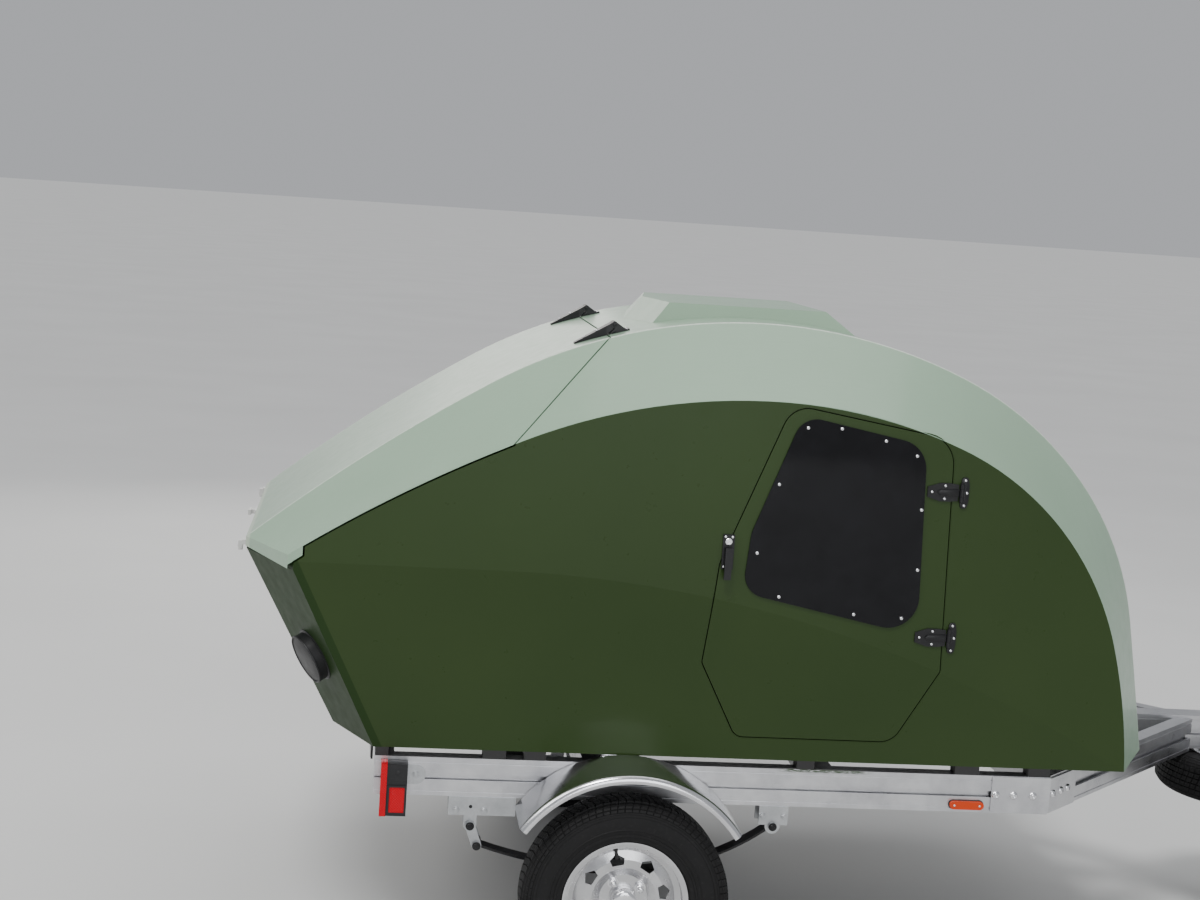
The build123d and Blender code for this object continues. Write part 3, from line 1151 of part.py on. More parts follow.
def build_fenders():
    """Rolled fenders over the wheels, with their brackets."""
    low = 90 - FENDER_HALF_ANGLE
    high = 90 + FENDER_HALF_ANGLE
    r = FENDER_RADIUS
    skin = sector(r - FENDER_THICKNESS, r, low, high, FENDER_INNER_Y, FENDER_OUTER_Y)
    lip = sector(r - FENDER_LIP, r, low, high, FENDER_OUTER_Y - FENDER_THICKNESS, FENDER_OUTER_Y)
    add_both("fender", skin + lip)
    brackets = []
    inside = r - FENDER_THICKNESS
    face = FRAME_HALF_WIDTH
    for angle in BRACKET_ANGLES:
        low = angle - BRACKET_HALF_ANGLE
        high = angle + BRACKET_HALF_ANGLE
        flange = sector(inside - BRACKET_THICKNESS, inside, low, high, face, FENDER_INNER_Y + BRACKET_REACH)
        web = sector(inside - BRACKET_DEPTH, inside, low, high, face, face + BRACKET_THICKNESS)
        brackets.append(flange + web)
    add("fender_brackets", pair(joined(brackets)))


def build_lamps():
    """Tail lamps, marker lamps and the blank plate holder."""
    face = FRAME_HALF_WIDTH
    seat = face + LAMP_BRACKET_THICKNESS
    mount = region(LAMP_BRACKET_START_X, LAMP_BRACKET_END_X, face, seat,
                   LAMP_BRACKET_Z - LAMP_BRACKET_HALF, LAMP_BRACKET_Z + LAMP_BRACKET_HALF)
    mount = mount + bar_y(LAMP_BRACKET_END_X, LAMP_BRACKET_Z, LAMP_BRACKET_HALF, face, seat)
    mount = mount - bar_y(LAMP_BRACKET_END_X, LAMP_BRACKET_Z, LAMP_BRACKET_HOLE, 0, FAR)
    add("lamp_brackets", pair(mount))
    end = seat + LAMP_DEPTH
    rear_lens = region(LAMP_REAR_X, LAMP_SPLIT_X, seat, end, LAMP_LOW, LAMP_HIGH)
    side_lens = region(SIDE_LENS_START_X, SIDE_LENS_END_X, end - SIDE_LENS_DEPTH, end,
                       SIDE_LENS_LOW, SIDE_LENS_HIGH)
    housing = region(LAMP_SPLIT_X, LAMP_FRONT_X, seat, end - 2, LAMP_LOW + 1, LAMP_HIGH - 1) - side_lens
    add("tail_lamps", pair(housing))
    add("tail_lamp_lenses", pair(rear_lens + side_lens))
    half = MARKER_HALF_HEIGHT
    crown = face + MARKER_DEPTH
    marker = link(MARKER_START_X + half, MARKER_Z, MARKER_END_X - half, MARKER_Z, half, face, crown)
    add("marker_lamps", pair(marker))
    half = HOLDER_HALF
    holder = region(-HOLDER_THICKNESS, 0, -half, half, HOLDER_LOW, HOLDER_HIGH)
    holder = holder + region(-HOLDER_THICKNESS / 2, 0, -HOLDER_NECK_HALF, HOLDER_NECK_HALF,
                             HOLDER_HIGH - HOLDER_NECK_LAP, HOLDER_NECK_HIGH)
    add("plate_holder", holder)


def export_nodes():
    """Centre the trailer along X and write one file for each node."""
    boxes = [shape.bounding_box() for shape in nodes.values()]
    middle = (min(box.min.X for box in boxes) + max(box.max.X for box in boxes)) / 2
    os.makedirs("parts", exist_ok=True)
    for name, shape in nodes.items():
        export_step(Pos(-middle, 0, 0) * shape, "parts/" + name + ".step")
    print("nodes", len(nodes), "moved back by", round(middle, 3))


def main():
    """Build every piece and write the files."""
    outer_blank = roof_blank(0)
    inner_blank = roof_blank(PANEL)
    build_skin(outer_blank, inner_blank)
    build_walls(outer_blank, inner_blank)
    build_hump(outer_blank)
    build_vents()
    build_door_hinges()
    build_hatch_hinges()
    build_frame()
    build_coupler()
    build_jack()
    build_wheels()
    build_axle()
    build_fenders()
    build_lamps()
    export_nodes()


main()
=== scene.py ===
import logging
import math
from dataclasses import dataclass
from enum import Enum
from itertools import product
from typing import Iterable, Sequence

import bmesh
import bpy
from mathutils import Matrix, Vector


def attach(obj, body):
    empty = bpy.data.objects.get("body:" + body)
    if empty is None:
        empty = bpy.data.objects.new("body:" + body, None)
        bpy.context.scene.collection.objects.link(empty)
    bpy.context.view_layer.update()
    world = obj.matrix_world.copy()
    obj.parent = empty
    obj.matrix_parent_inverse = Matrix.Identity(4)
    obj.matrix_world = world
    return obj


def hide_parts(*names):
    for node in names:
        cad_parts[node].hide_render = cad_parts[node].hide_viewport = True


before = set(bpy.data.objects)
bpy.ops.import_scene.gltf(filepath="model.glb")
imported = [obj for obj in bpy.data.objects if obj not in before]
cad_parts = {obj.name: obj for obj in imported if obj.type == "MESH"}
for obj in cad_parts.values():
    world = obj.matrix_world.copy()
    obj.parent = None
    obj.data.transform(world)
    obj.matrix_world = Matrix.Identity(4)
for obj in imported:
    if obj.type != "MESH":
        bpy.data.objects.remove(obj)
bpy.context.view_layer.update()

log = logging.getLogger("trailer")

Vec = tuple[float, float, float]
Colour = tuple[float, float, float]
Point = tuple[float, float]
Points = tuple[Point, ...]
Socket = bpy.types.NodeSocket
Piece = bpy.types.Object

# X of the rear end of the side rails, in metres, and the scale of one millimetre.
REAR_X = -1.48635
MM = 0.001

# Plan of the body in millimetres: its sides bend in towards the front and lean in below the crease.
FLOOR_MM = 615.0
HALF_WIDTH = 760.0
BEND_X = 300.0
BEND_RUN = 1700.0
BEND_DROP = 60.0
SILL_HALF_WIDTH = 700.0
CREASE_HEIGHT = 485.0

# Bend in radians from which soft pieces have an edge rounded, bend in degrees from which an edge stays
# sharp to the eye, and distance in millimetres within which corners are welded.
SOFTENED_ANGLE = 0.6
SHARP_DEGREES = 32.0
WELD_DISTANCE = 0.0005
MIRROR = (1.0, -1.0, 1.0)

# Directions on the trailer, and the bodies that pairs of pieces ride on.
LEFT = (0.0, 1.0, 0.0)
RIGHT = (0.0, -1.0, 0.0)
UP = (0.0, 0.0, 1.0)
DOWN = (0.0, 0.0, -1.0)
REARWARD = (-1.0, 0.0, 0.0)
DOORS = ("door_left", "door_right")
WHEELS = ("wheel_left", "wheel_right")


class Head(Enum):
    """Outlines of fastener heads: shares of the radius and shares of the height."""

    BUTTON = ((1.0, 0.0), (1.0, 0.25), (0.86, 0.62), (0.6, 0.9), (0.42, 1.0), (0.36, 0.96), (0.34, 0.4),
              (0.0, 0.38))
    PAN = ((1.0, 0.0), (1.0, 0.4), (0.86, 0.82), (0.5, 1.0), (0.2, 0.98), (0.15, 0.5), (0.0, 0.4))
    HEX = ((1.3, 0.0), (1.3, 0.2), (1.24, 0.26), (0.0, 0.26))


# Nut and bolt end above the washer of a hex head: number of sides, then the radii and the rounding as
# shares of its radius, and the length and the middle as shares of its height.
HEX_PARTS = ((6, (1.0, 1.0), 0.08, 0.76, 0.62), (16, (0.5, 0.42), 0.0, 0.2, 1.1))
HEAD_SIDES = 20


def at(x: float, y: float, z: float) -> Matrix:
    """Matrix that moves by x, y and z."""
    return Matrix.Translation((x, y, z))


def facing(direction: Vec) -> Matrix:
    """Rotation that takes +Z to a direction."""
    return Vector(direction).to_track_quat("Z", "Y").to_matrix().to_4x4()


def linked(name: str, data: bpy.types.ID) -> Piece:
    """New object of the scene.

    Args:
        name: Its name.
        data: Its mesh, light or camera.

    Returns:
        The object.
    """
    piece = bpy.data.objects.new(name, data)
    bpy.context.scene.collection.objects.link(piece)
    return piece


class Shape:
    """Mesh under construction, in millimetres from the rear end of the side rails."""

    def __init__(self) -> None:
        """Start empty."""
        self.bm = bmesh.new()

    def settle(self, verts: Iterable[bmesh.types.BMVert], place: Matrix, soft: float = 0.0,
               facets: int = 2) -> None:
        """Move vertices to their place and round their sharp edges.

        Args:
            verts: The vertices.
            place: Matrix that moves them.
            soft: Width of the rounding, if there is any.
            facets: Number of facets of the rounding.
        """
        kept = list(verts)
        bmesh.ops.transform(self.bm, matrix=place, verts=kept)
        if soft:
            edges = {e for v in kept for e in v.link_edges
                     if len(e.link_faces) == 2 and e.calc_face_angle(0.0) > SOFTENED_ANGLE}
            bmesh.ops.bevel(self.bm, geom=list(edges), offset=soft, segments=facets, profile=0.5,
                            affect="EDGES", clamp_overlap=True, material=-1)

    def block(self, low: Vec, high: Vec, soft: float) -> None:
        """Box with rounded edges.

        Args:
            low: Lowest corner.
            high: Highest corner.
            soft: Width of the rounding.
        """
        size = Vector(high) - Vector(low)
        made = bmesh.ops.create_cube(self.bm, size=1.0)["verts"]
        self.settle(made, at(*(Vector(low) + Vector(high)) / 2) @ Matrix.Diagonal((*size, 1.0)), soft)

    def cone(self, place: Matrix, sides: int, radii: Point, length: float, soft: float = 0.0,
             facets: int = 2) -> None:
        """Bar or cone along the Z axis of the place where its middle is.

        Args:
            place: The place.
            sides: Number of sides.
            radii: Radii of its two ends.
            length: Its length.
            soft: Width of the rounded rims.
            facets: Number of facets of the rims.
        """
        made = bmesh.ops.create_cone(self.bm, cap_ends=True, segments=sides, radius1=radii[0],
                                     radius2=radii[1], depth=length)["verts"]
        self.settle(made, place, soft, facets)

    def rod(self, start: Vec, end: Vec, radius: float, tip: float | None = None, sides: int = 24,
            soft: float = 0.0) -> None:
        """Round bar or cone between two places.

        Args:
            start: Middle of the first end.
            end: Middle of the other end.
            radius: Radius of the first end.
            tip: Radius of the other end, if it differs.
            sides: Number of sides.
            soft: Width of the rounded rims.
        """
        run = Vector(end) - Vector(start)
        place = at(*(Vector(start) + Vector(end)) / 2) @ facing(run)
        self.cone(place, sides, (radius, radius if tip is None else tip), run.length, soft)

    def lathe(self, outline: Sequence[Point], place: Matrix, sides: int = 48, ring: bool = False) -> None:
        """Round piece from an outline of (radius, height) about the place's Z axis.

        Args:
            outline: The outline.
            place: Where the piece stands.
            sides: Number of steps round.
            ring: Whether the outline is a closed loop.
        """
        verts = [self.bm.verts.new((r, 0.0, h)) for r, h in outline]
        pairs = list(zip(verts, verts[1:])) + ([(verts[-1], verts[0])] if ring else [])
        edges = [self.bm.edges.new(pair) for pair in pairs]
        before = set(self.bm.verts) - set(verts)
        bmesh.ops.spin(self.bm, geom=verts + edges, cent=(0, 0, 0), axis=UP, angle=math.tau, steps=sides,
                       use_merge=True)
        made = [v for v in self.bm.verts if v not in before]
        bmesh.ops.remove_doubles(self.bm, verts=made, dist=WELD_DISTANCE)
        self.settle([v for v in self.bm.verts if v not in before], place)

    def plate(self, outline: Sequence[Point], place: Matrix, thickness: float, soft: float = 0.0) -> None:
        """Flat piece from an outline in the place's XY plane, raised along its Z axis.

        Args:
            outline: The outline.
            place: Where the piece lies.
            thickness: Its thickness.
            soft: Width of its rounded edges.
        """
        verts = [self.bm.verts.new((x, y, 0.0)) for x, y in outline]
        self.thicken(verts, [self.bm.faces.new(verts)], place, thickness, soft)

    def thicken(self, verts: list[bmesh.types.BMVert], faces: list[bmesh.types.BMFace], place: Matrix,
                thickness: float, soft: float = 0.0) -> None:
        """Raise flat faces along Z to a closed piece and move it to its place.

        Args:
            verts: Vertices of the faces.
            faces: The faces.
            place: Where the piece lies.
            thickness: Its thickness.
            soft: Width of its rounded edges.
        """
        raised = bmesh.ops.extrude_face_region(self.bm, geom=faces)["geom"]
        top = [v for v in raised if isinstance(v, bmesh.types.BMVert)]
        bmesh.ops.translate(self.bm, verts=top, vec=(0.0, 0.0, thickness))
        self.settle(verts + top, place, soft)

    def band(self, outer: Sequence[Point], inner: Sequence[Point], place: Matrix, thickness: float) -> None:
        """Flat frame between two outlines with the same number of points.

        Args:
            outer: Outer outline.
            inner: Inner outline.
            place: Where the piece lies.
            thickness: Its thickness.
        """
        loops = [[self.bm.verts.new((x, y, 0.0)) for x, y in line] for line in (outer, inner)]
        edges = [self.bm.edges.new((loop[i - 1], loop[i])) for loop in loops for i in range(len(loop))]
        faces = bmesh.ops.bridge_loops(self.bm, edges=edges)["faces"]
        self.thicken(loops[0] + loops[1], faces, place, thickness)

    def sweep(self, outline: Sequence[Point], place: Matrix, start: float, end: float, steps: int) -> None:
        """Part of a ring from a closed outline of (radius, height).

        Args:
            outline: The closed outline.
            place: Where the ring's axis stands.
            start: First angle in degrees.
            end: Last angle in degrees.
            steps: Number of steps.
        """
        before = set(self.bm.verts)
        first = Matrix.Rotation(math.radians(start), 4, "Z")
        face = self.bm.faces.new([self.bm.verts.new(first @ Vector((r, 0.0, h))) for r, h in outline])
        bmesh.ops.spin(self.bm, geom=[face], cent=(0, 0, 0), axis=UP, angle=math.radians(end - start),
                       steps=steps)
        self.settle([v for v in self.bm.verts if v not in before], place)

    def fasten(self, head: Head, size: Point, out: Vec, *places: Vec) -> None:
        """Screw or bolt heads of one size on a surface.

        Args:
            head: Kind of head.
            size: Radius and height of each head.
            out: Direction that they face.
            places: Middles of their seats.
        """
        radius, height = size
        parts = HEX_PARTS if head is Head.HEX else ()
        for place in places:
            turn = at(*place) @ facing(out)
            self.lathe([(r * radius, h * height) for r, h in head.value], turn, HEAD_SIDES)
            for sides, (low, high), soft, length, middle in parts:
                self.cone(turn @ at(0.0, 0.0, height * middle), sides, (radius * low, radius * high),
                          height * length, radius * soft, 1)

    def twin(self) -> None:
        """Add the mirrored half on the trailer's other side."""
        both = [*self.bm.verts, *self.bm.edges, *self.bm.faces]
        made = bmesh.ops.duplicate(self.bm, geom=both)["geom"]
        bmesh.ops.scale(self.bm, vec=MIRROR, verts=[g for g in made if isinstance(g, bmesh.types.BMVert)])
        bmesh.ops.reverse_faces(self.bm, faces=[g for g in made if isinstance(g, bmesh.types.BMFace)])

    def flip(self) -> "Shape":
        """Copy the shape to the trailer's other side.

        Returns:
            The mirrored copy.
        """
        other = Shape()
        other.bm = self.bm.copy()
        bmesh.ops.scale(other.bm, vec=MIRROR, verts=other.bm.verts)
        bmesh.ops.reverse_faces(other.bm, faces=other.bm.faces)
        return other

    def finish(self, name: str, material: bpy.types.Material, body: str, slot: str) -> Piece:
        """Turn the shape into a piece that rides on a body.

        Args:
            name: Name of the piece.
            material: Its material.
            body: Body that it rides on.
            slot: Name of a material slot; not used.

        Returns:
            The piece.
        """
        self.bm.normal_update()
        bmesh.ops.recalc_face_normals(self.bm, faces=self.bm.faces)
        self.settle(self.bm.verts, at(REAR_X, 0.0, 0.0) @ Matrix.Scale(MM, 4))
        mesh = bpy.data.meshes.new(name)
        self.bm.to_mesh(mesh)
        self.bm.free()
        mesh.materials.append(material)
        mesh.shade_smooth()
        mesh.set_sharp_from_angle(angle=math.radians(SHARP_DEGREES))
        piece = linked(name, mesh)
        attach(piece, body)
        log.info("built %s with %d faces", name, len(mesh.polygons))
        return piece


def rounded(corners: Sequence[Vec], grow: float = 0.0, steps: int = 8) -> list[Point]:
    """Points of an outline with rounded corners, grown outwards.

    Args:
        corners: Rows of x, height and corner radius, clockwise.
        grow: Amount to grow.
        steps: Facets of each corner.

    Returns:
        The outline's points.
    """
    points = []
    count = len(corners)
    for i, (x, h, radius) in enumerate(corners):
        here = Vector((x, h))
        back = (Vector(corners[i - 1][:2]) - here).normalized()
        ahead = (Vector(corners[(i + 1) % count][:2]) - here).normalized()
        half = back.angle(ahead) / 2
        centre = here + (back + ahead).normalized() * (radius / math.sin(half))
        first = here + back * (radius / math.tan(half)) - centre
        last = here + ahead * (radius / math.tan(half)) - centre
        sweep = first.angle_signed(last)
        for step in range(steps + 1):
            spoke = first.copy()
            spoke.rotate(Matrix.Rotation(-sweep * step / steps, 2))
            point = centre + spoke * ((radius + grow) / radius)
            points.append((point.x, point.y))
    return points


def rounded_box(low: Point, high: Point, radius: float, steps: int) -> list[Point]:
    """Points of a box between two corners, itself with rounded corners."""
    ends = ((low[0], high[1]), high, (high[0], low[1]), low)
    return rounded([(*end, radius) for end in ends], steps=steps)


def arc(centre: Point, radius: float, start: int, end: int, steps: int) -> list[Point]:
    """Points of an arc between two angles in degrees."""
    angles = [math.radians(start + (end - start) * i / steps) for i in range(steps + 1)]
    return [(centre[0] + radius * math.cos(a), centre[1] + radius * math.sin(a)) for a in angles]


def half_width(x: float) -> float:
    """Half width of the body sides.

    Args:
        x: Distance from the rear end of the side rails, in millimetres.

    Returns:
        The half width in millimetres.
    """
    if x <= BEND_X:
        return HALF_WIDTH
    radius = (BEND_RUN ** 2 + BEND_DROP ** 2) / (2.0 * BEND_DROP)
    return HALF_WIDTH - radius + math.sqrt(radius ** 2 - (x - BEND_X) ** 2)


def slope(x: float, reach: float) -> float:
    """Growth of the half width per millimetre, measured over a reach on both sides of x."""
    return (half_width(x + reach) - half_width(x - reach)) / (2.0 * reach)


def side_y(x: float, height: float) -> float:
    """Half width of the body at x and at a height above its floor, in millimetres."""
    return min(half_width(x), SILL_HALF_WIDTH + (HALF_WIDTH - SILL_HALF_WIDTH) * height / CREASE_HEIGHT)


class Graph:
    """Short way to write a material's node graph on object coordinates."""

    def __init__(self, name: str) -> None:
        """Make a material with a shader and an output.

        Args:
            name: Name of the material.
        """
        self.material = bpy.data.materials.new(name)
        self.material.use_nodes = True
        self.nodes = self.material.node_tree.nodes
        self.links = self.material.node_tree.links
        self.nodes.clear()
        output = self.nodes.new("ShaderNodeOutputMaterial")
        self.shader = self.nodes.new("ShaderNodeBsdfPrincipled")
        self.links.new(self.shader.outputs[0], output.inputs[0])
        self.coords = self.nodes.new("ShaderNodeTexCoord").outputs["Object"]

    def feed(self, socket: Socket, value: Socket | Vec | float) -> None:
        """Link a pattern to an input, or set the input's constant.

        Args:
            socket: The input.
            value: The pattern or the constant.
        """
        if isinstance(value, Socket):
            self.links.new(value, socket)
        else:
            socket.default_value = (*value, 1.0) if socket.type == "RGBA" else value

    def wire(self, node: bpy.types.Node, **inputs: Socket | Vec | float) -> Socket:
        """Feed the inputs of a node.

        Args:
            node: The node.
            inputs: Names of inputs, with spaces as underscores, and their patterns or constants.

        Returns:
            The node's first output.
        """
        for name, value in inputs.items():
            self.feed(node.inputs[name.replace("_", " ")], value)
        return node.outputs[0]

    def add(self, kind: str, **inputs: Socket | Vec | float) -> Socket:
        """Add a shader node, feed its inputs and give its first output."""
        return self.wire(self.nodes.new("ShaderNode" + kind), **inputs)

    def shade(self, **inputs: Socket | Vec | float) -> bpy.types.Material:
        """Feed the inputs of the shader and give the material."""
        self.wire(self.shader, **inputs)
        return self.material

    def noise(self, scale: float, detail: float, rough: float = 0.55, stretch: Vec = (1.0, 1.0, 1.0),
              shift: Vec = (0.0, 0.0, 0.0)) -> Socket:
        """Cloudy pattern.

        Args:
            scale: Waves per metre.
            detail: Number of finer layers.
            rough: Weight of the finer layers.
            stretch: Factors on the waves along each axis.
            shift: Move in metres.

        Returns:
            The pattern's value.
        """
        place = self.add("Mapping", Vector=self.coords, Scale=stretch, Location=shift)
        return self.add("TexNoise", Vector=place, Scale=scale, Detail=detail, Roughness=rough)

    def ramp(self, value: Socket, *stops: tuple[float, Colour]) -> Socket:
        """Colour picked by a value from 0 to 1.

        Args:
            value: The value.
            stops: Places and colours of the two stops.

        Returns:
            The colour between them.
        """
        node = self.nodes.new("ShaderNodeValToRGB")
        for element, (place, colour) in zip(node.color_ramp.elements, stops):
            element.position = place
            element.color = (*colour, 1.0)
        return self.wire(node, Fac=value)

    def span(self, value: Socket, low: float, high: float, to_low: float = 0.0,
             to_high: float = 1.0) -> Socket:
        """Value moved from one range to another, held at its ends.

        Args:
            value: The value.
            low: Start of its range.
            high: End of its range.
            to_low: Result at the start.
            to_high: Result at the end.

        Returns:
            The moved value.
        """
        return self.add("MapRange", Value=value, From_Min=low, From_Max=high, To_Min=to_low, To_Max=to_high)

    def math(self, kind: str, first: Socket, second: Socket | float = 0.0) -> Socket:
        """Sum, product or other operation on one or two values.

        Args:
            kind: Name of the operation.
            first: First value.
            second: Second value, where the operation has one.

        Returns:
            The result.
        """
        node = self.nodes.new("ShaderNodeMath")
        node.operation = kind
        self.feed(node.inputs[0], first)
        self.feed(node.inputs[1], second)
        return node.outputs[0]

    def mix(self, share: Socket, first: Socket | Colour, second: Socket | Colour) -> Socket:
        """Blend of two colours.

        Args:
            share: Share of the second colour.
            first: First colour.
            second: Second colour.

        Returns:
            The blended colour.
        """
        node = self.nodes.new("ShaderNodeMix")
        node.data_type = "RGBA"
        for index, value in ((0, share), (6, first), (7, second)):
            self.feed(node.inputs[index], value)
        return node.outputs[2]

    def axis(self, name: str) -> Socket:
        """One of the object coordinates.

        Args:
            name: X, Y or Z.

        Returns:
            Its value in metres.
        """
        node = self.nodes.new("ShaderNodeSeparateXYZ")
        self.wire(node, Vector=self.coords)
        return node.outputs[name]

    def bump(self, height: Socket, strength: float, distance: float) -> Socket:
        """Surface raised by a pattern, over a distance in metres."""
        return self.add("Bump", Height=height, Strength=strength, Distance=distance)


def paler(colour: Colour, gain: float, lift: float) -> Colour:
    """A colour made stronger by a factor and paler by an amount."""
    return tuple(min(1.0, c * gain + lift) for c in colour)


@dataclass(frozen=True)
class PanelPaint:
    """Brushed and sanded marine paint over plywood panels."""

    name: str
    base: Colour
    shade: Colour
    gloss: float
    coat: float
    streak: float = 0.12
    # Colour of the pale chine line, if any: a painted edge highlight mixed with worn paint.
    lip: Colour | None = None
    edge: Colour | None = None
    shine: float = 0.4
    strokes: Vec = (2.0, 14.0, 30.0)
    edge_y: float = 0.47
    edge_reach: Point = (0.002, 0.005)
    lip_x: Point = (REAR_X - 0.352, REAR_X - 0.356)
    relief: float = 0.0003

    def build(self) -> bpy.types.Material:
        """Build the paint.

        Returns:
            Its material.
        """
        g = Graph(self.name)
        tone = g.ramp(g.noise(1.3, 3.0), (0.3, self.shade), (0.7, self.base))
        streaks = g.noise(5.0, 5.0, 0.6, self.strokes)
        tone = g.mix(g.span(streaks, 0.35, 0.75, 0.0, self.streak), tone, self.shade)
        dust = g.noise(70.0, 6.0, 0.7, shift=(3.0, 1.0, 0.0))
        tone = g.mix(g.span(dust, 0.68, 0.85, 0.0, 0.06), tone, paler(self.base, 1.3, 0.02))
        # Pale line along the roof chine: a painted highlight of the rounded edge, broken up like worn paint.
        if self.edge is not None:
            away = g.math("ABSOLUTE", g.math("SUBTRACT", g.math("ABSOLUTE", g.axis("Y")), self.edge_y))
            near = g.span(away, *self.edge_reach, 1.0, 0.0)
            line = g.math("MULTIPLY", near, g.span(dust, 0.3, 0.6, 0.5, 1.0))
            tone = g.mix(line, tone, self.edge)
        if self.lip is not None:
            tone = g.mix(g.span(g.axis("X"), *self.lip_x), tone, self.lip)
        worn = g.noise(9.0, 5.0, stretch=(3.0, 3.0, 3.0))
        peel = g.math("MULTIPLY", g.noise(220.0, 2.0), 0.1)
        rough = g.span(worn, 0.25, 0.75, self.gloss - 0.04, self.gloss + 0.08)
        return g.shade(Base_Color=tone, Roughness=rough, Coat_Weight=self.coat, Coat_Roughness=0.1,
                       Normal=g.bump(g.math("ADD", peel, streaks), 0.25, self.relief),
                       Specular_IOR_Level=self.shine)


@dataclass(frozen=True)
class DrawnMetal:
    """Bare or plated metal with drawing lines along one direction."""

    name: str
    base: Colour
    shade: Colour
    rough: float
    lines: Vec = (1.5, 60.0, 60.0)
    bump_height: float = 0.0003
    scuffed: bool = False
    scuff_rear: Point = (REAR_X + 1.05, REAR_X + 1.09)
    scuff_front: Point = (REAR_X + 1.32, REAR_X + 1.27)
    scuff_height: Point = (0.582, 0.587)
    scuff_side: Point = (-0.69, -0.699)
    scuff_colour: Colour = (0.03, 0.055, 0.02)

    def build(self) -> bpy.types.Material:
        """Build the metal.

        Returns:
            Its material.
        """
        g = Graph(self.name)
        lines = g.noise(10.0, 6.0, 0.65, self.lines)
        stains = g.noise(11.0, 6.0, 0.62)
        tone = g.ramp(stains, (0.3, self.shade), (0.62, self.base))
        tone = g.mix(g.span(lines, 0.35, 0.7, 0.0, 0.35), tone, self.shade)
        bare: Socket | float = 1.0
        if self.scuffed:
            share = self.scuff(g)
            bare = g.span(share, 0.0, 1.0, 1.0, 0.0)
            tone = g.mix(share, tone, self.scuff_colour)
        mixed = g.math("ADD", g.math("MULTIPLY", lines, 0.6), g.math("MULTIPLY", stains, 0.4))
        return g.shade(Base_Color=tone, Metallic=bare, Normal=g.bump(lines, 0.4, self.bump_height),
                       Roughness=g.span(mixed, 0.25, 0.75, self.rough - 0.09, self.rough + 0.14))

    def scuff(self, g: Graph) -> Socket:
        """Smear of green paint along the top of the right rail.

        Args:
            g: The graph.

        Returns:
            Share of the paint.
        """
        x = g.axis("X")
        along = g.math("MULTIPLY", g.span(x, *self.scuff_rear), g.span(x, *self.scuff_front))
        high = g.span(g.axis("Z"), *self.scuff_height)
        side = g.span(g.axis("Y"), *self.scuff_side)
        patch = g.math("MULTIPLY", g.math("MULTIPLY", along, high), side)
        return g.math("MULTIPLY", patch, g.span(g.noise(9.0, 5.0, stretch=(6.0, 30.0, 60.0)), 0.42, 0.5))


@dataclass(frozen=True)
class GrainedPlastic:
    """Moulded plastic, rubber or powder coating with a fine grain."""

    name: str
    base: Colour
    shade: Colour
    rough: float
    grain: float = 900.0
    grain_height: float = 0.0003
    coat: float = 0.0
    metallic: float = 0.0
    shine: float = 0.5

    def build(self) -> bpy.types.Material:
        """Build the plastic.

        Returns:
            Its material.
        """
        g = Graph(self.name)
        clouds = g.noise(16.0, 6.0, 0.6)
        dust = g.noise(130.0, 4.0, 0.7, shift=(2.0, 5.0, 1.0))
        tone = g.ramp(clouds, (0.32, self.shade), (0.7, self.base))
        tone = g.mix(g.span(dust, 0.55, 0.8, 0.0, 0.25), tone, paler(self.base, 1.0, 0.06))
        rough = g.span(clouds, 0.3, 0.7, self.rough - 0.06, self.rough + 0.1)
        return g.shade(Base_Color=tone, Roughness=rough, Coat_Weight=self.coat, Metallic=self.metallic,
                       Normal=g.bump(g.noise(self.grain, 3.0), 0.5, self.grain_height),
                       Specular_IOR_Level=self.shine)


@dataclass(frozen=True)
class MouldedLens:
    """Coloured lamp lens with fine ribs."""

    name: str
    base: Colour
    shade: Colour
    ribs: float = 900.0
    rib_height: float = 0.0006
    shine: float = 0.14

    def build(self) -> bpy.types.Material:
        """Build the lens.

        Returns:
            Its material.
        """
        g = Graph(self.name)
        waves = [g.math("SINE", g.math("MULTIPLY", g.axis(name), self.ribs)) for name in "ZX"]
        ribs = g.math("MULTIPLY", *waves)
        tone = g.ramp(g.span(ribs, -1.0, 1.0), (0.1, self.shade), (0.75, self.base))
        return g.shade(Base_Color=tone, Roughness=g.span(g.noise(60.0, 4.0), 0.3, 0.7, 0.08, 0.2),
                       Normal=g.bump(ribs, 0.5, self.rib_height), Specular_IOR_Level=self.shine)


@dataclass(frozen=True)
class SmokedAcrylic:
    """Dark see-through sheet."""

    name: str
    base: Colour = (0.009, 0.009, 0.011)
    shade: Colour = (0.004, 0.004, 0.005)
    cover: float = 0.95
    shine: float = 0.22

    def build(self) -> bpy.types.Material:
        """Build the acrylic.

        Returns:
            Its material.
        """
        g = Graph(self.name)
        haze = g.noise(14.0, 6.0, 0.65)
        return g.shade(Base_Color=g.ramp(haze, (0.3, self.shade), (0.75, self.base)), IOR=1.49,
                       Roughness=g.span(haze, 0.3, 0.8, 0.02, 0.06), Alpha=self.cover,
                       Specular_IOR_Level=self.shine)


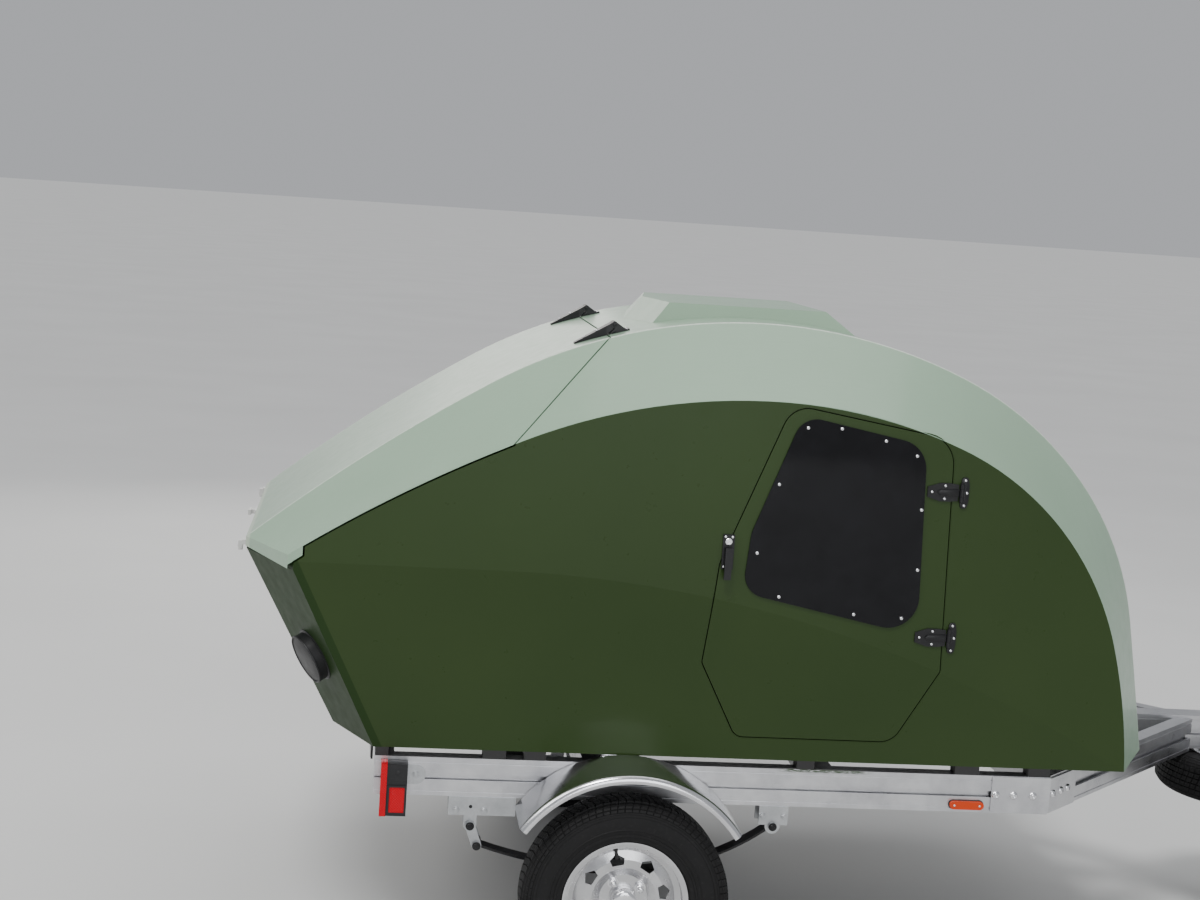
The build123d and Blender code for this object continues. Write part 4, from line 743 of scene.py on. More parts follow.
@dataclass(frozen=True)
class SealedPlywood:
    """Clear-sealed plywood with its grain along X, coated black below a height if one is given."""

    name: str
    black_below: float | None = None
    base: Colour = (0.55, 0.38, 0.21)
    shade: Colour = (0.36, 0.22, 0.11)
    pores: Colour = (0.26, 0.15, 0.07)
    black: tuple[Colour, Colour] = ((0.012, 0.012, 0.013), (0.02, 0.02, 0.021))

    def build(self) -> bpy.types.Material:
        """Build the plywood.

        Returns:
            Its material.
        """
        g = Graph(self.name)
        grain = g.noise(3.0, 6.0, 0.6, (2.0, 40.0, 40.0))
        tone = g.ramp(g.noise(3.0, 3.0, stretch=(0.6, 6.0, 6.0)), (0.25, self.shade), (0.75, self.base))
        tone = g.mix(g.span(grain, 0.45, 0.7, 0.0, 0.5), tone, self.pores)
        if self.black_below is not None:
            low = g.span(g.axis("Z"), self.black_below, self.black_below - 0.0005)
            coat = g.ramp(g.noise(12.0, 5.0), *zip((0.3, 0.7), self.black))
            tone = g.mix(low, tone, coat)
        return g.shade(Base_Color=tone, Roughness=g.span(grain, 0.3, 0.7, 0.4, 0.55),
                       Normal=g.bump(grain, 0.4, 0.0005))


# Base and shade of two shared materials, and the pale mint edge line: worn paint and painted highlight.
PALE_MINT = ((0.3, 0.425, 0.31), (0.255, 0.375, 0.265))
ALLOY = ((0.66, 0.66, 0.67), (0.5, 0.5, 0.52))
WORN_MINT_AND_HIGHLIGHT = (0.64, 0.7, 0.61)


class FinishName(Enum):
    """Finishes of the trailer."""

    GREEN = PanelPaint("green_panel_paint", (0.0275, 0.052, 0.0118), (0.023, 0.0445, 0.0102), 0.3, 0.06, 0.1,
                       shine=0.2)
    # Darker copy of the side green for the rear panels: painted shade, with less reflection.
    SHADED_REAR_GREEN = PanelPaint("green_rear_shaded_paint", (0.02, 0.042, 0.012), (0.017, 0.036, 0.01), 0.42, 0.0, 0.1,
                            shine=0.1)
    MINT = PanelPaint("mint_panel_paint", *PALE_MINT, 0.32, 0.2, 0.3, None, WORN_MINT_AND_HIGHLIGHT)
    HATCH_MINT = PanelPaint("mint_hatch_paint", *PALE_MINT, 0.32, 0.2, 0.3, (0.43, 0.51, 0.4), WORN_MINT_AND_HIGHLIGHT)
    PLYWOOD = SealedPlywood("sealed_plywood")
    FLOOR = SealedPlywood("floor_plywood", 0.6155)
    ACRYLIC = SmokedAcrylic("smoked_acrylic")
    RAIL = DrawnMetal("rail_aluminium", *ALLOY, 0.3, scuffed=True)
    EXTRUSION = DrawnMetal("drawn_aluminium", *ALLOY, 0.3)
    CROSS_EXTRUSION = DrawnMetal("cross_drawn_aluminium", *ALLOY, 0.3, (60.0, 1.5, 60.0))
    POLISHED = DrawnMetal("polished_sheet", (0.78, 0.78, 0.79), (0.66, 0.66, 0.68), 0.16, (12.0, 12.0, 12.0),
                          0.0001)
    ZINC = DrawnMetal("zinc_plate", (0.55, 0.56, 0.57), (0.38, 0.39, 0.4), 0.36, (20.0, 20.0, 20.0))
    CHROME = DrawnMetal("bright_chrome", (0.86, 0.86, 0.87), (0.74, 0.74, 0.76), 0.14, (8.0, 8.0, 8.0),
                        0.0001)
    WHITE_METAL = GrainedPlastic("pale_coated_metal", (0.6, 0.6, 0.58), (0.5, 0.5, 0.48), 0.35)
    SILVER = GrainedPlastic("silver_wheel_paint", (0.66, 0.66, 0.67), (0.56, 0.56, 0.57), 0.22, 700.0, 0.0001,
                            0.4, 0.95)
    BLACK_COAT = GrainedPlastic("black_coating", (0.013, 0.013, 0.014), (0.008, 0.008, 0.009), 0.36, 700.0,
                                0.0002, 0.05, shine=0.3)
    BLACK_PLASTIC = GrainedPlastic("black_plastic", (0.015, 0.015, 0.016), (0.01, 0.01, 0.011), 0.4,
                                   shine=0.35)
    RUBBER = GrainedPlastic("black_rubber", (0.022, 0.021, 0.021), (0.014, 0.014, 0.014), 0.66, 500.0, 0.0005)
    TYRE = GrainedPlastic("tyre_rubber", (0.012, 0.0115, 0.012), (0.007, 0.007, 0.007), 0.6, 420.0, 0.0004,
                          shine=0.22)
    RED_LENS = MouldedLens("red_lens", (0.6, 0.0015, 0.012), (0.42, 0.001, 0.009))
    AMBER_LENS = MouldedLens("amber_lens", (0.68, 0.065, 0.012), (0.5, 0.04, 0.009))


SLOTS: dict[FinishName, str] = {
    FinishName.GREEN: "green_panels",
    FinishName.CHROME: "zinc_steel",
    FinishName.ZINC: "zinc_steel",
    FinishName.POLISHED: "polished_aluminium",
    FinishName.WHITE_METAL: "white_metal",
    FinishName.BLACK_COAT: "black_steel",
    FinishName.BLACK_PLASTIC: "black_plastic",
    FinishName.RUBBER: "black_rubber",
    FinishName.TYRE: "tyre_rubber",
}

Looks = tuple[tuple[FinishName, str], ...]


class FinishShop:
    """Makes each finish once, dresses nodes with it and finishes new pieces."""

    def __init__(self) -> None:
        """Start with no finish made."""
        self.made: dict[FinishName, bpy.types.Material] = {}

    def get(self, name: FinishName) -> bpy.types.Material:
        """Give a finish, made when it is first asked for.

        Args:
            name: The finish.

        Returns:
            Its material.
        """
        if name not in self.made:
            self.made[name] = name.value.build()
        return self.made[name]

    def dress(self, looks: Looks) -> None:
        """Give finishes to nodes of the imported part.

        Args:
            looks: Rows of a finish and the names of its nodes.
        """
        for finish, names in looks:
            for name in names.split():
                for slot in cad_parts[name].material_slots:
                    slot.material = self.get(finish)
            log.info("dressed %s with %s", names, finish.name.lower())

    def make(self, shape: Shape, name: str, finish: FinishName, body: str = "trailer") -> Piece:
        """Finish a shape as one piece.

        Args:
            shape: The shape.
            name: Name of the piece.
            finish: Its finish.
            body: Body that it rides on.

        Returns:
            The piece.
        """
        return shape.finish(name, self.get(finish), body, SLOTS[finish])

    def make_twin(self, shape: Shape, name: str, finish: FinishName, body: str = "trailer") -> Piece:
        """Finish a left shape and its mirrored half as one piece, and give that piece."""
        shape.twin()
        return self.make(shape, name, finish, body)

    def make_both(self, shape: Shape, name: str, finish: FinishName,
                  bodies: tuple[str, str]) -> tuple[Piece, Piece]:
        """Finish a left shape and its mirrored copy as two pieces.

        Args:
            shape: The left shape.
            name: Name of the pieces, without the side.
            finish: Their finish.
            bodies: Bodies that the left and the right piece ride on.

        Returns:
            The left and the right piece.
        """
        other = shape.flip()
        left = self.make(shape, name + "_left", finish, bodies[0])
        return left, self.make(other, name + "_right", finish, bodies[1])


@dataclass
class Studio:
    """Plain floor, soft lights and the camera."""

    camera_place: Vec = (-0.055 + REAR_X, -5.599, 2.034)
    yaw: float = 6.79
    pitch: float = 7.18
    roll: float = 3.85
    lens: float = 58.5
    sensor: float = 36.0
    floor_radius: float = 300.0
    floor_tones: tuple[Colour, Colour] = ((0.62, 0.62, 0.61), (0.66, 0.66, 0.65))
    world_colour: Colour = (0.86, 0.88, 0.92)
    world_strength: float = 0.52
    sun_place: Vec = (-1.6, -3.2, 6.6)
    sun_power: float = 1.6
    sun_angle: float = 16.0
    lights: tuple[tuple[str, Vec, Vec, float, float, Colour], ...] = (
        ("key", (-5.5, -3.0, 5.6), (-0.4, 0.0, 0.9), 3.6, 150.0, (1.0, 0.985, 0.96)),
        ("fill", (0.5, -11.5, 3.6), (0.0, 0.0, 1.1), 6.0, 330.0, (0.96, 0.98, 1.0)),
        ("top", (0.2, 0.8, 6.5), (0.0, 0.0, 0.8), 5.0, 95.0, (1.0, 1.0, 1.0)),
        ("back", (-2.0, 6.5, 3.8), (0.0, 0.0, 1.0), 4.0, 90.0, (1.0, 0.97, 0.92)),
    )

    def build(self) -> None:
        """Set up the floor, world, lights and camera."""
        self.make_floor()
        self.make_world()
        for name, place, target, size, power, colour in self.lights:
            lamp = bpy.data.lights.new(name, "AREA")
            lamp.size = size
            lamp.energy = power
            lamp.color = colour
            piece = self.aim(lamp, Vector(place), Vector(target))
            piece.visible_camera = False
        sun = bpy.data.lights.new("sun", "SUN")
        sun.energy = self.sun_power
        sun.angle = math.radians(self.sun_angle)
        self.aim(sun, Vector(self.sun_place), Vector())
        self.make_camera()
        log.info("studio ready")

    def make_floor(self) -> None:
        """Large pale floor at ground height."""
        mesh = bpy.data.meshes.new("studio_floor")
        bm = bmesh.new()
        bmesh.ops.create_circle(bm, cap_ends=True, segments=96, radius=self.floor_radius)
        bm.to_mesh(mesh)
        bm.free()
        floor = linked("studio_floor", mesh)
        g = Graph("studio_floor")
        tone = g.ramp(g.noise(0.6, 3.0), *zip((0.3, 0.7), self.floor_tones))
        mesh.materials.append(g.shade(Base_Color=tone, Roughness=0.85))

    def make_world(self) -> None:
        """Even pale surroundings."""
        world = bpy.data.worlds.new("studio_world")
        world.use_nodes = True
        inputs = world.node_tree.nodes["Background"].inputs
        inputs[0].default_value = (*self.world_colour, 1.0)
        inputs[1].default_value = self.world_strength
        bpy.context.scene.world = world

    def aim(self, lamp: bpy.types.Light, place: Vector, target: Vector) -> Piece:
        """Stand a light at a place, facing a target.

        Args:
            lamp: The light.
            place: The place.
            target: The target.

        Returns:
            The light's object.
        """
        piece = linked(lamp.name, lamp)
        piece.location = place
        piece.rotation_euler = (target - place).to_track_quat("-Z", "Y").to_euler()
        return piece

    def make_camera(self) -> None:
        """Camera at the place and angle fitted to the straight edges of the trailer."""
        yaw, pitch, roll = (math.radians(a) for a in (self.yaw, self.pitch, self.roll))
        forward = Vector((math.sin(yaw), math.cos(yaw), 0.0))
        right = Vector((math.cos(yaw), -math.sin(yaw), 0.0))
        up = Vector(UP)
        look = forward * math.cos(pitch) - up * math.sin(pitch)
        top = up * math.cos(pitch) + forward * math.sin(pitch)
        side = right * math.cos(roll) + top * math.sin(roll)
        top = top * math.cos(roll) - right * math.sin(roll)
        data = bpy.data.cameras.new("camera")
        data.lens = self.lens
        data.sensor_width = self.sensor
        data.sensor_fit = "HORIZONTAL"
        camera = linked("camera", data)
        camera.matrix_world = at(*self.camera_place) @ Matrix((side, top, -look)).transposed().to_4x4()
        bpy.context.scene.camera = camera


SIDE_ON = Matrix.Rotation(math.radians(90), 4, "X")


@dataclass
class CamperBody:
    """Plywood shell with its doors, hatch and windows."""

    shop: FinishShop
    looks: Looks = (
        (FinishName.GREEN, "side_left side_right door_left door_right"),
        (FinishName.SHADED_REAR_GREEN, "transom corner_panels"),
        (FinishName.MINT, "roof_panel band_left band_right roof_hump"),
        (FinishName.HATCH_MINT, "hatch_top hatch_band_left hatch_band_right"),
        (FinishName.PLYWOOD, "bulkhead galley_counter galley_front"),
        (FinishName.FLOOR, "floor_panel"),
        (FinishName.ACRYLIC, "window_left window_right"),
        (FinishName.BLACK_COAT, "door_hinge_leaves door_straps_left door_straps_right hatch_hinge_leaves "
                                "hatch_straps door_latch_left door_latch_right"),
        (FinishName.BLACK_PLASTIC, "side_vents"),
        (FinishName.WHITE_METAL, "hatch_latches"))
    door_corners: tuple[Vec, ...] = (
        (1007.0, 950.0, 70.0), (1449.0, 878.0, 85.0), (1464.0, 262.0, 22.0), (1356.0, 58.0, 60.0),
        (930.0, 58.0, 40.0), (822.0, 262.0, 25.0), (846.0, 530.0, 80.0))
    seal_grows: Point = (-0.1, -2.3)
    seal_depth: float = 6.0
    seal_sink: float = 0.4
    seal_splits: int = 4
    window_screws: Points = (
        (1052.0, 889.0), (1141.0, 891.0), (1260.0, 865.0), (1346.0, 830.0), (1370.0, 690.0), (1373.0, 532.0),
        (1341.0, 403.0), (1212.0, 409.0), (1010.0, 448.0), (944.0, 560.0), (988.0, 740.0))
    window_screw: Point = (4.6, 2.4)
    screw_reach: float = 10.0
    pane_lift: float = 4.65
    hinge_x: float = 1474.0
    hinge_heights: Point = (739.0, 354.0)
    hinge_lift: float = 7.0
    hinge_reach: float = 50.0
    hinge_face: float = -3.2
    hinge_screw: Point = (3.6, 2.0)
    strap_screws: Points = ((-80.0, 0.0), (-45.0, 17.0), (-45.0, -17.0))
    leaf_screws: Points = ((8.5, 33.0), (14.5, 0.0), (9.0, -33.0))
    leaf_corners: tuple[Vec, ...] = ((-1.5, 41.0, 8.5), (16.0, 41.0, 8.5), (20.5, 20.0, 6.0),
                                     (20.5, -20.0, 6.0), (16.0, -41.0, 8.5), (-1.5, -41.0, 8.5))
    leaf_notch: Points = ((-1.5, -24.4), (2.0, -24.4), (2.0, -10.6), (7.0, -10.6), (7.0, 10.6),
                          (2.0, 10.6), (2.0, 24.4), (-1.5, 24.4))
    leaf_seat: float = -6.8
    leaf_thickness: float = 3.6
    knuckles: tuple[Vec, ...] = ((10.6, 24.0, 6.0), (-24.0, -10.6, 6.0), (-24.0, 24.0, 2.7))
    pin_ends: tuple[Vec, ...] = ((24.0, 26.5, 4.6), (-26.5, -24.0, 4.6))
    rib_outline: Points = ((-8.0, -9.0), (-58.0, -7.0), (-66.0, 0.0), (-58.0, 7.0), (-8.0, 9.0))
    rib_height: float = 4.2
    latch_middle: Point = (868.0, 560.0)
    latch_lift: float = 5.6
    latch_screw: Point = (3.4, 2.0)
    latch_reach: Point = (9.0, 39.0)
    barrel_rise: float = 27.0
    barrel_outline: Points = ((9.0, 0.0), (9.0, 2.0), (7.5, 3.2), (5.0, 3.2), (4.6, 2.2), (0.0, 2.2))
    vent_corner: Vec = (-114.0, 470.0, FLOOR_MM)
    vent_along: Vec = (108.0, 230.0, 0.0)
    vent_rise: Vec = (-249.0, 0.0, 462.0)
    vent_shares: Point = (130.0 / 230.0, 212.0 / 462.0)
    vent_sides: int = 64
    vent_radius: float = 67.0
    vent_depth: float = 27.3
    vent_flange: Points = ((0.0, 0.4), (6.0, 0.4), (6.0, 1.6), (3.0, 3.2), (0.0, 4.0))
    vent_rim: Points = ((-4.0, 0.0), (-3.0, 2.2), (-0.5, 2.6), (1.6, 1.2), (2.0, -1.5),
                        (1.0, -3.4), (0.0, -3.8))
    vent_dome: Points = ((62.5, 0.0), (59.0, 1.2), (40.2, 2.6), (20.1, 3.3), (0.0, 3.6))
    hatch_hinge_y: float = 372.0
    hatch_screw: Point = (3.6, 2.2)
    hatch_leaf_screws: Points = ((604.0, 1702.0), (617.0, 1705.51))
    hatch_leaf_reach: float = 14.0
    hatch_leaf_out: Vec = (-0.26, 0.0, 0.966)
    hatch_strap_root: Point = (477.0, 1660.9)
    hatch_strap_rise: float = 0.604
    hatch_strap_screws: Points = ((26.0, 0.0), (58.0, 10.0), (58.0, -10.0))
    hatch_strap_out: Vec = (-0.517, 0.0, 0.856)
    hatch_pin: Point = (582.0, 1716.0)
    hatch_pin_radius: float = 5.5
    hatch_pin_ends: Points = ((-25.1, -27.6), (25.1, 27.6))
    skirt_outline: Points = ((567.0, 1689.0), (579.0, 1701.5), (586.0, 1706.0), (593.0, 1703.0),
                             (593.0, 1696.5), (582.0, 1692.5))
    skirt_half: float = 24.8
    handle_screws: tuple[Vec, ...] = ((-370.3, -27.0, 1095.5), (-370.3, 27.0, 1095.5))
    corner_screws: tuple[Vec, ...] = ((-385.3, -450.0, 1077.0), (-385.3, 450.0, 1077.0))
    rollers: tuple[Vec, ...] = ((-377.3, -450.0, 1073.0), (-377.3, 450.0, 1073.0))
    roller_half: float = 13.5
    roller_radius: float = 2.6

    def build(self) -> None:
        """Dress the shell and add its small parts."""
        self.shop.dress(self.looks)
        self.add_window_screws()
        self.add_door_leaves()
        self.add_door_hinge_details()
        self.add_latch_details()
        self.add_door_seals()
        self.add_vent_details()
        self.add_hatch_hinges()
        self.add_hatch_trim()

    def add_window_screws(self) -> None:
        """Pan-head screws round each window."""
        shape = Shape()
        for x, height in self.window_screws:
            place = (x, half_width(x) + self.pane_lift, height + FLOOR_MM)
            shape.fasten(Head.PAN, self.window_screw, (-slope(x, self.screw_reach), 1.0, 0.0), place)
        self.shop.make_both(shape, "window_screws", FinishName.CHROME, DOORS)

    def hinge_frames(self) -> list[Matrix]:
        """Find the pins of the left door's hinges.

        Returns:
            Their places.
        """
        x = self.hinge_x
        y = half_width(x) + self.hinge_lift
        turn = Matrix.Rotation(math.atan(slope(x, self.hinge_reach)), 4, "Z")
        return [at(x, y, height + FLOOR_MM) @ turn for height in self.hinge_heights]

    def add_pins(self, shape: Shape, rows: Iterable[Vec], pin: Matrix, soft: float = 0.0) -> None:
        """Add round parts of a hinge.

        Args:
            shape: Shape that they go to.
            rows: Lower end, upper end and radius of each.
            pin: Place of the hinge's pin.
            soft: Width of their rounded rims.
        """
        for low, high, radius in rows:
            shape.rod(pin @ Vector((0.0, 0.0, low)), pin @ Vector((0.0, 0.0, high)), radius, soft=soft)

    def add_door_leaves(self) -> None:
        """Fixed hinge leaves with round ends, in place of the plain ones."""
        outline = rounded(self.leaf_corners) + list(self.leaf_notch)
        shape = Shape()
        for pin in self.hinge_frames():
            shape.plate(outline, pin @ at(0.0, self.leaf_seat, 0.0) @ SIDE_ON, -self.leaf_thickness, 0.5)
            self.add_pins(shape, self.knuckles, pin)
        piece = self.shop.make_twin(shape, "round_hinge_leaves", FinishName.BLACK_COAT)
        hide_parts("door_hinge_leaves")

    def add_door_hinge_details(self) -> None:
        """Screws, raised ribs and pin ends of the door hinges."""
        strap_screws, leaf_screws, ribs, pins = (Shape() for _ in range(4))
        for pin in self.hinge_frames():
            out = pin.to_3x3() @ Vector(LEFT)
            for shape, rows in ((strap_screws, self.strap_screws), (leaf_screws, self.leaf_screws)):
                places = [pin @ Vector((x, self.hinge_face, z)) for x, z in rows]
                shape.fasten(Head.PAN, self.hinge_screw, out, *places)
            ribs.plate(self.rib_outline, pin @ at(0.0, self.hinge_face, 0.0) @ SIDE_ON, -self.rib_height, 1.2)
            self.add_pins(pins, self.pin_ends, pin, 1.0)
        self.shop.make_both(strap_screws, "door_strap_screws", FinishName.CHROME, DOORS)
        self.shop.make_both(ribs, "door_strap_ribs", FinishName.BLACK_COAT, DOORS)
        self.shop.make_twin(leaf_screws, "door_leaf_screws", FinishName.CHROME)
        self.shop.make_twin(pins, "door_hinge_pin_ends", FinishName.BLACK_COAT)

    def add_latch_details(self) -> None:
        """Screws and lock barrel of the door latches."""
        x, height = self.latch_middle
        face = half_width(x) + self.latch_lift
        middle = height + FLOOR_MM
        dx, dz = self.latch_reach
        shape = Shape()
        shape.fasten(Head.PAN, self.latch_screw, LEFT,
                     *product((x - dx, x + dx), (face,), (middle - dz, middle + dz)))
        shape.lathe(self.barrel_outline, at(x, face, middle + self.barrel_rise) @ facing(LEFT), 28)
        self.shop.make_both(shape, "door_latch_trim", FinishName.CHROME, DOORS)

    def add_door_seals(self) -> None:
        """Painted edge strips that narrow the gap round each door."""
        loops = []
        splits = self.seal_splits
        for grow in self.seal_grows:
            corners = rounded(self.door_corners, grow)
            loops.append([(x0 + (x1 - x0) * i / splits, h0 + (h1 - h0) * i / splits)
                          for (x0, h0), (x1, h1) in zip(corners, corners[1:] + corners[:1])
                          for i in range(splits)])
        shape = Shape()
        shape.band(*loops, SIDE_ON, self.seal_depth)
        for vert in shape.bm.verts:
            vert.co.y += side_y(vert.co.x, vert.co.z) - self.seal_sink
            vert.co.z += FLOOR_MM
        self.shop.make_twin(shape, "door_edge_strips", FinishName.GREEN)

    def add_vent_details(self) -> None:
        """Rolled rim, domed face and foot flange of the round corner vents."""
        along = Vector(self.vent_along)
        rise = Vector(self.vent_rise)
        centre = Vector(self.vent_corner) + along * self.vent_shares[0] + rise * self.vent_shares[1]
        foot = at(*centre) @ facing(rise.cross(along))
        top = foot @ at(0.0, 0.0, self.vent_depth)
        r = self.vent_radius
        shape = Shape()
        for rows, place in ((self.vent_flange, foot), (self.vent_rim, top)):
            shape.lathe([(r + grow, height) for grow, height in rows], place, self.vent_sides, True)
        shape.lathe(self.vent_dome, top, self.vent_sides)
        self.shop.make_twin(shape, "vent_rims", FinishName.BLACK_PLASTIC)

    def add_hatch_hinges(self) -> None:
        """Screws, pin ends and skirts of the hatch hinges."""
        y = self.hatch_hinge_y
        shape = Shape()
        reach = self.hatch_leaf_reach
        for x, z in self.hatch_leaf_screws:
            shape.fasten(Head.PAN, self.hatch_screw, self.hatch_leaf_out,
                         (x, y - reach, z), (x, y + reach, z))
        self.shop.make_twin(shape, "hatch_leaf_screws", FinishName.CHROME)
        shape = Shape()
        x, z = self.hatch_strap_root
        for dx, dy in self.hatch_strap_screws:
            place = (x + dx, y + dy, z + dx * self.hatch_strap_rise)
            shape.fasten(Head.PAN, self.hatch_screw, self.hatch_strap_out, place)
        self.shop.make_twin(shape, "hatch_strap_screws", FinishName.CHROME, "hatch")
        shape = Shape()
        x, z = self.hatch_pin
        for start, end in self.hatch_pin_ends:
            shape.rod((x, y + start, z), (x, y + end, z), self.hatch_pin_radius, soft=0.8)
        half = self.skirt_half
        shape.plate(self.skirt_outline, at(0.0, y + half, 0.0) @ SIDE_ON, 2.0 * half, 0.4)
        self.shop.make_twin(shape, "hatch_hinge_feet", FinishName.BLACK_COAT)

    def add_hatch_trim(self) -> None:
        """Screws and rollers of the hatch's handle and corner latches."""
        half = self.roller_half
        shape = Shape()
        shape.fasten(Head.PAN, self.hinge_screw, REARWARD, *self.handle_screws)
        shape.fasten(Head.PAN, self.latch_screw, REARWARD, *self.corner_screws)
        for x, y, z in self.rollers:
            shape.rod((x, y - half, z), (x, y + half, z), self.roller_radius, soft=0.6)
        self.shop.make(shape, "hatch_latch_trim", FinishName.WHITE_METAL, "hatch")


@dataclass
class TrailerFrame:
    """Bolted aluminium frame with its tongue, coupler, jack and lamps."""

    shop: FinishShop
    looks: Looks = (
        (FinishName.RAIL, "rail_left rail_right"),
        (FinishName.EXTRUSION, "drawbar_arms corner_plates tongue tongue_plates fender_brackets"),
        (FinishName.CROSS_EXTRUSION, "crossmembers"),
        (FinishName.RUBBER, "body_mounts"),
        (FinishName.ZINC, "coupler jack_tube jack_leg jack_crank spare_carrier spring_hangers axle_clamps "
                          "lamp_brackets shackles"),
        (FinishName.BLACK_COAT, "axle leaf_springs"),
        (FinishName.BLACK_PLASTIC, "tail_lamps plate_holder"),
        (FinishName.RED_LENS, "tail_lamp_lenses"),
        (FinishName.AMBER_LENS, "marker_lamps"))
    button: Point = (11.0, 6.5)
    plate_bolts: tuple[Vec, ...] = ((1652.0, 705.0, 541.2), (1701.0, 705.0, 541.2), (1754.4, 705.0, 541.2))
    arm_angle: float = 44.2
    arm_root: Vec = (1800.0, 700.0, 546.6)
    arm_bolts: tuple[float, ...] = (14.1, 61.0, 100.8)
    arm_plate: float = 5.0
    rail_bolt: Point = (7.6, 5.5)
    rail_bolts: tuple[Vec, ...] = ((216.0, 704.0, 455.6), (288.5, 704.0, 455.6), (1024.0, 704.0, 464.0),
                                   (1082.0, 704.0, 464.0), (107.0, 703.0, 546.0))
    cross_bolt: Point = (7.6, 5.0)
    cross_bolt_x: tuple[float, ...] = (25.0, 565.0, 1185.0, 1775.0)
    cross_bolt_y: float = 655.8
    cross_bolt_z: Point = (527.0, 555.0)
    # Middle of a hanger hole, and the outline of the thin black disc that paints the shade inside it.
    hanger_hole: Vec = (253.3, 704.0, 465.0)
    hole_shade_outline: Points = ((4.6, 0.0), (4.6, 0.3), (0.0, 0.3))
    clips: tuple[tuple[Vec, Vec], ...] = (((587.0, 686.0, 607.0), (650.0, 700.5, 614.6)),
                                          ((587.0, 698.0, 592.2), (650.0, 700.5, 609.0)))
    clip_soft: float = 0.8
    apex_bolt: Point = (8.0, 6.0)
    apex_bolts: tuple[Vec, ...] = ((2344.0, 128.0, 490.4), (2372.0, 98.0, 490.4), (2404.0, 66.0, 490.4))
    apex_middle_bolt: Vec = (2360.0, 0.0, 490.4)
    chain_bolt: Point = (7.5, 5.5)
    chain_bolts: tuple[Vec, ...] = ((3108.0, 22.0, 497.0), (3152.0, 22.0, 497.0))
    coupler_bolt: Point = (9.0, 7.0)
    coupler_bolts: tuple[Vec, ...] = ((3132.0, 46.0, 574.0), (3196.0, 46.0, 574.0))
    carrier_nut: Point = (17.0, 14.0)
    carrier_place: Vec = (2687.7, 0.0, 417.8)
    lever_pin: tuple[Vec, Vec] = ((3184.0, -12.5, 622.0), (3184.0, 12.5, 622.0))
    lever_pin_radius: float = 4.5
    lever_pad: tuple[Vec, Vec] = ((3228.0, -11.0, 630.5), (3286.0, 11.0, 637.5))
    lever_pad_soft: float = 2.5
    jack_middle: Point = (3050.0, 75.0)
    jack_cap: Points = ((30.5, 0.0), (30.5, 9.0), (28.0, 13.0), (14.0, 14.0), (14.0, 0.0))
    jack_ring: Points = ((28.2, 0.0), (31.0, 0.0), (31.0, 12.0), (28.2, 12.0))
    foot_collar: Points = ((23.0, 8.0), (27.0, 8.2), (23.6, 10.5), (23.0, 10.5))
    foot_rim: Points = ((54.0, 8.0), (59.0, 8.0), (58.5, 10.5), (55.0, 10.5))
    jack_cap_z: float = 800.0
    jack_ring_z: float = 268.5
    jack_nut: Point = (9.0, 6.0)
    jack_nut_z: float = 828.0
    jack_bolt: Point = (6.5, 5.0)
    jack_bolt_reach: Point = (35.0, 29.0)
    jack_bolt_z: Point = (556.0, 572.0)
    grip_reach: float = 120.0
    grip_z: float = 844.0
    grip_ends: tuple[Points, Points] = (((12.0, -0.5), (14.2, 0.5)), ((12.0, 64.8), (0.0, 64.9)))
    grip_rib: Points = ((14.4, 4.0), (13.3, 6.0), (14.4, 8.0))
    grip_ribs: int = 8
    rib_pitch: float = 7.2
    bezel_boxes: tuple[tuple[Point, Point, float], ...] = (
        ((35.5, 451.5), (84.0, 528.5), 3.0), ((40.6, 456.6), (79.4, 523.4), 1.5))
    bezel_y: float = 745.8
    bezel_rise: float = 4.0
    lamp_foot: tuple[Vec, Vec] = ((34.5, 703.5, 540.0), (84.0, 746.6, 543.0))
    lamp_stud: tuple[Vec, Vec] = ((60.0, 703.0, 560.0), (60.0, 746.6, 560.0))
    lamp_stud_radius: float = 7.0
    lamp_soft: float = 0.8
    marker_x: Point = (1538.0, 1609.0)
    marker_z: float = 511.0
    marker_radius: float = 13.0
    marker_base_y: float = 700.1
    marker_base_rise: float = 3.2
    marker_screw: Point = (3.2, 1.8)
    marker_screw_x: Point = (1539.0, 1608.0)
    marker_screw_y: float = 712.0
    number_plate: Vec = (150.0, 74.0, 8.0)
    plate_rim: Vec = (145.0, 69.0, 6.0)
    plate_place: Vec = (-6.0, 0.0, 496.0)
    plate_thickness: float = 1.0
    plate_rim_rise: Point = (0.8, 1.2)
    plate_screw: Point = (5.0, 2.6)
    plate_screw_reach: Point = (89.0, 58.0)

    def build(self) -> None:
        """Dress the frame and add its fasteners and fittings."""
        self.shop.dress(self.looks)
        self.add_plate_bolts()
        self.add_rail_details()
        self.add_tongue_bolts()
        self.add_jack_details()
        self.add_lamp_details()
        self.add_blank_plate()

    def add_plate_bolts(self) -> None:
        """Button-head bolts of the bent corner plates."""
        shape = Shape()
        shape.fasten(Head.BUTTON, self.button, LEFT, *self.plate_bolts)
        turn = math.radians(self.arm_angle)
        out = Vector((math.sin(turn), math.cos(turn), 0.0))
        ahead = Vector((math.cos(turn), -math.sin(turn), 0.0))
        places = [Vector(self.arm_root) + out * self.arm_plate + ahead * run for run in self.arm_bolts]
        shape.fasten(Head.BUTTON, self.button, out, *places)
        self.shop.make_twin(shape, "frame_button_bolts", FinishName.CHROME)

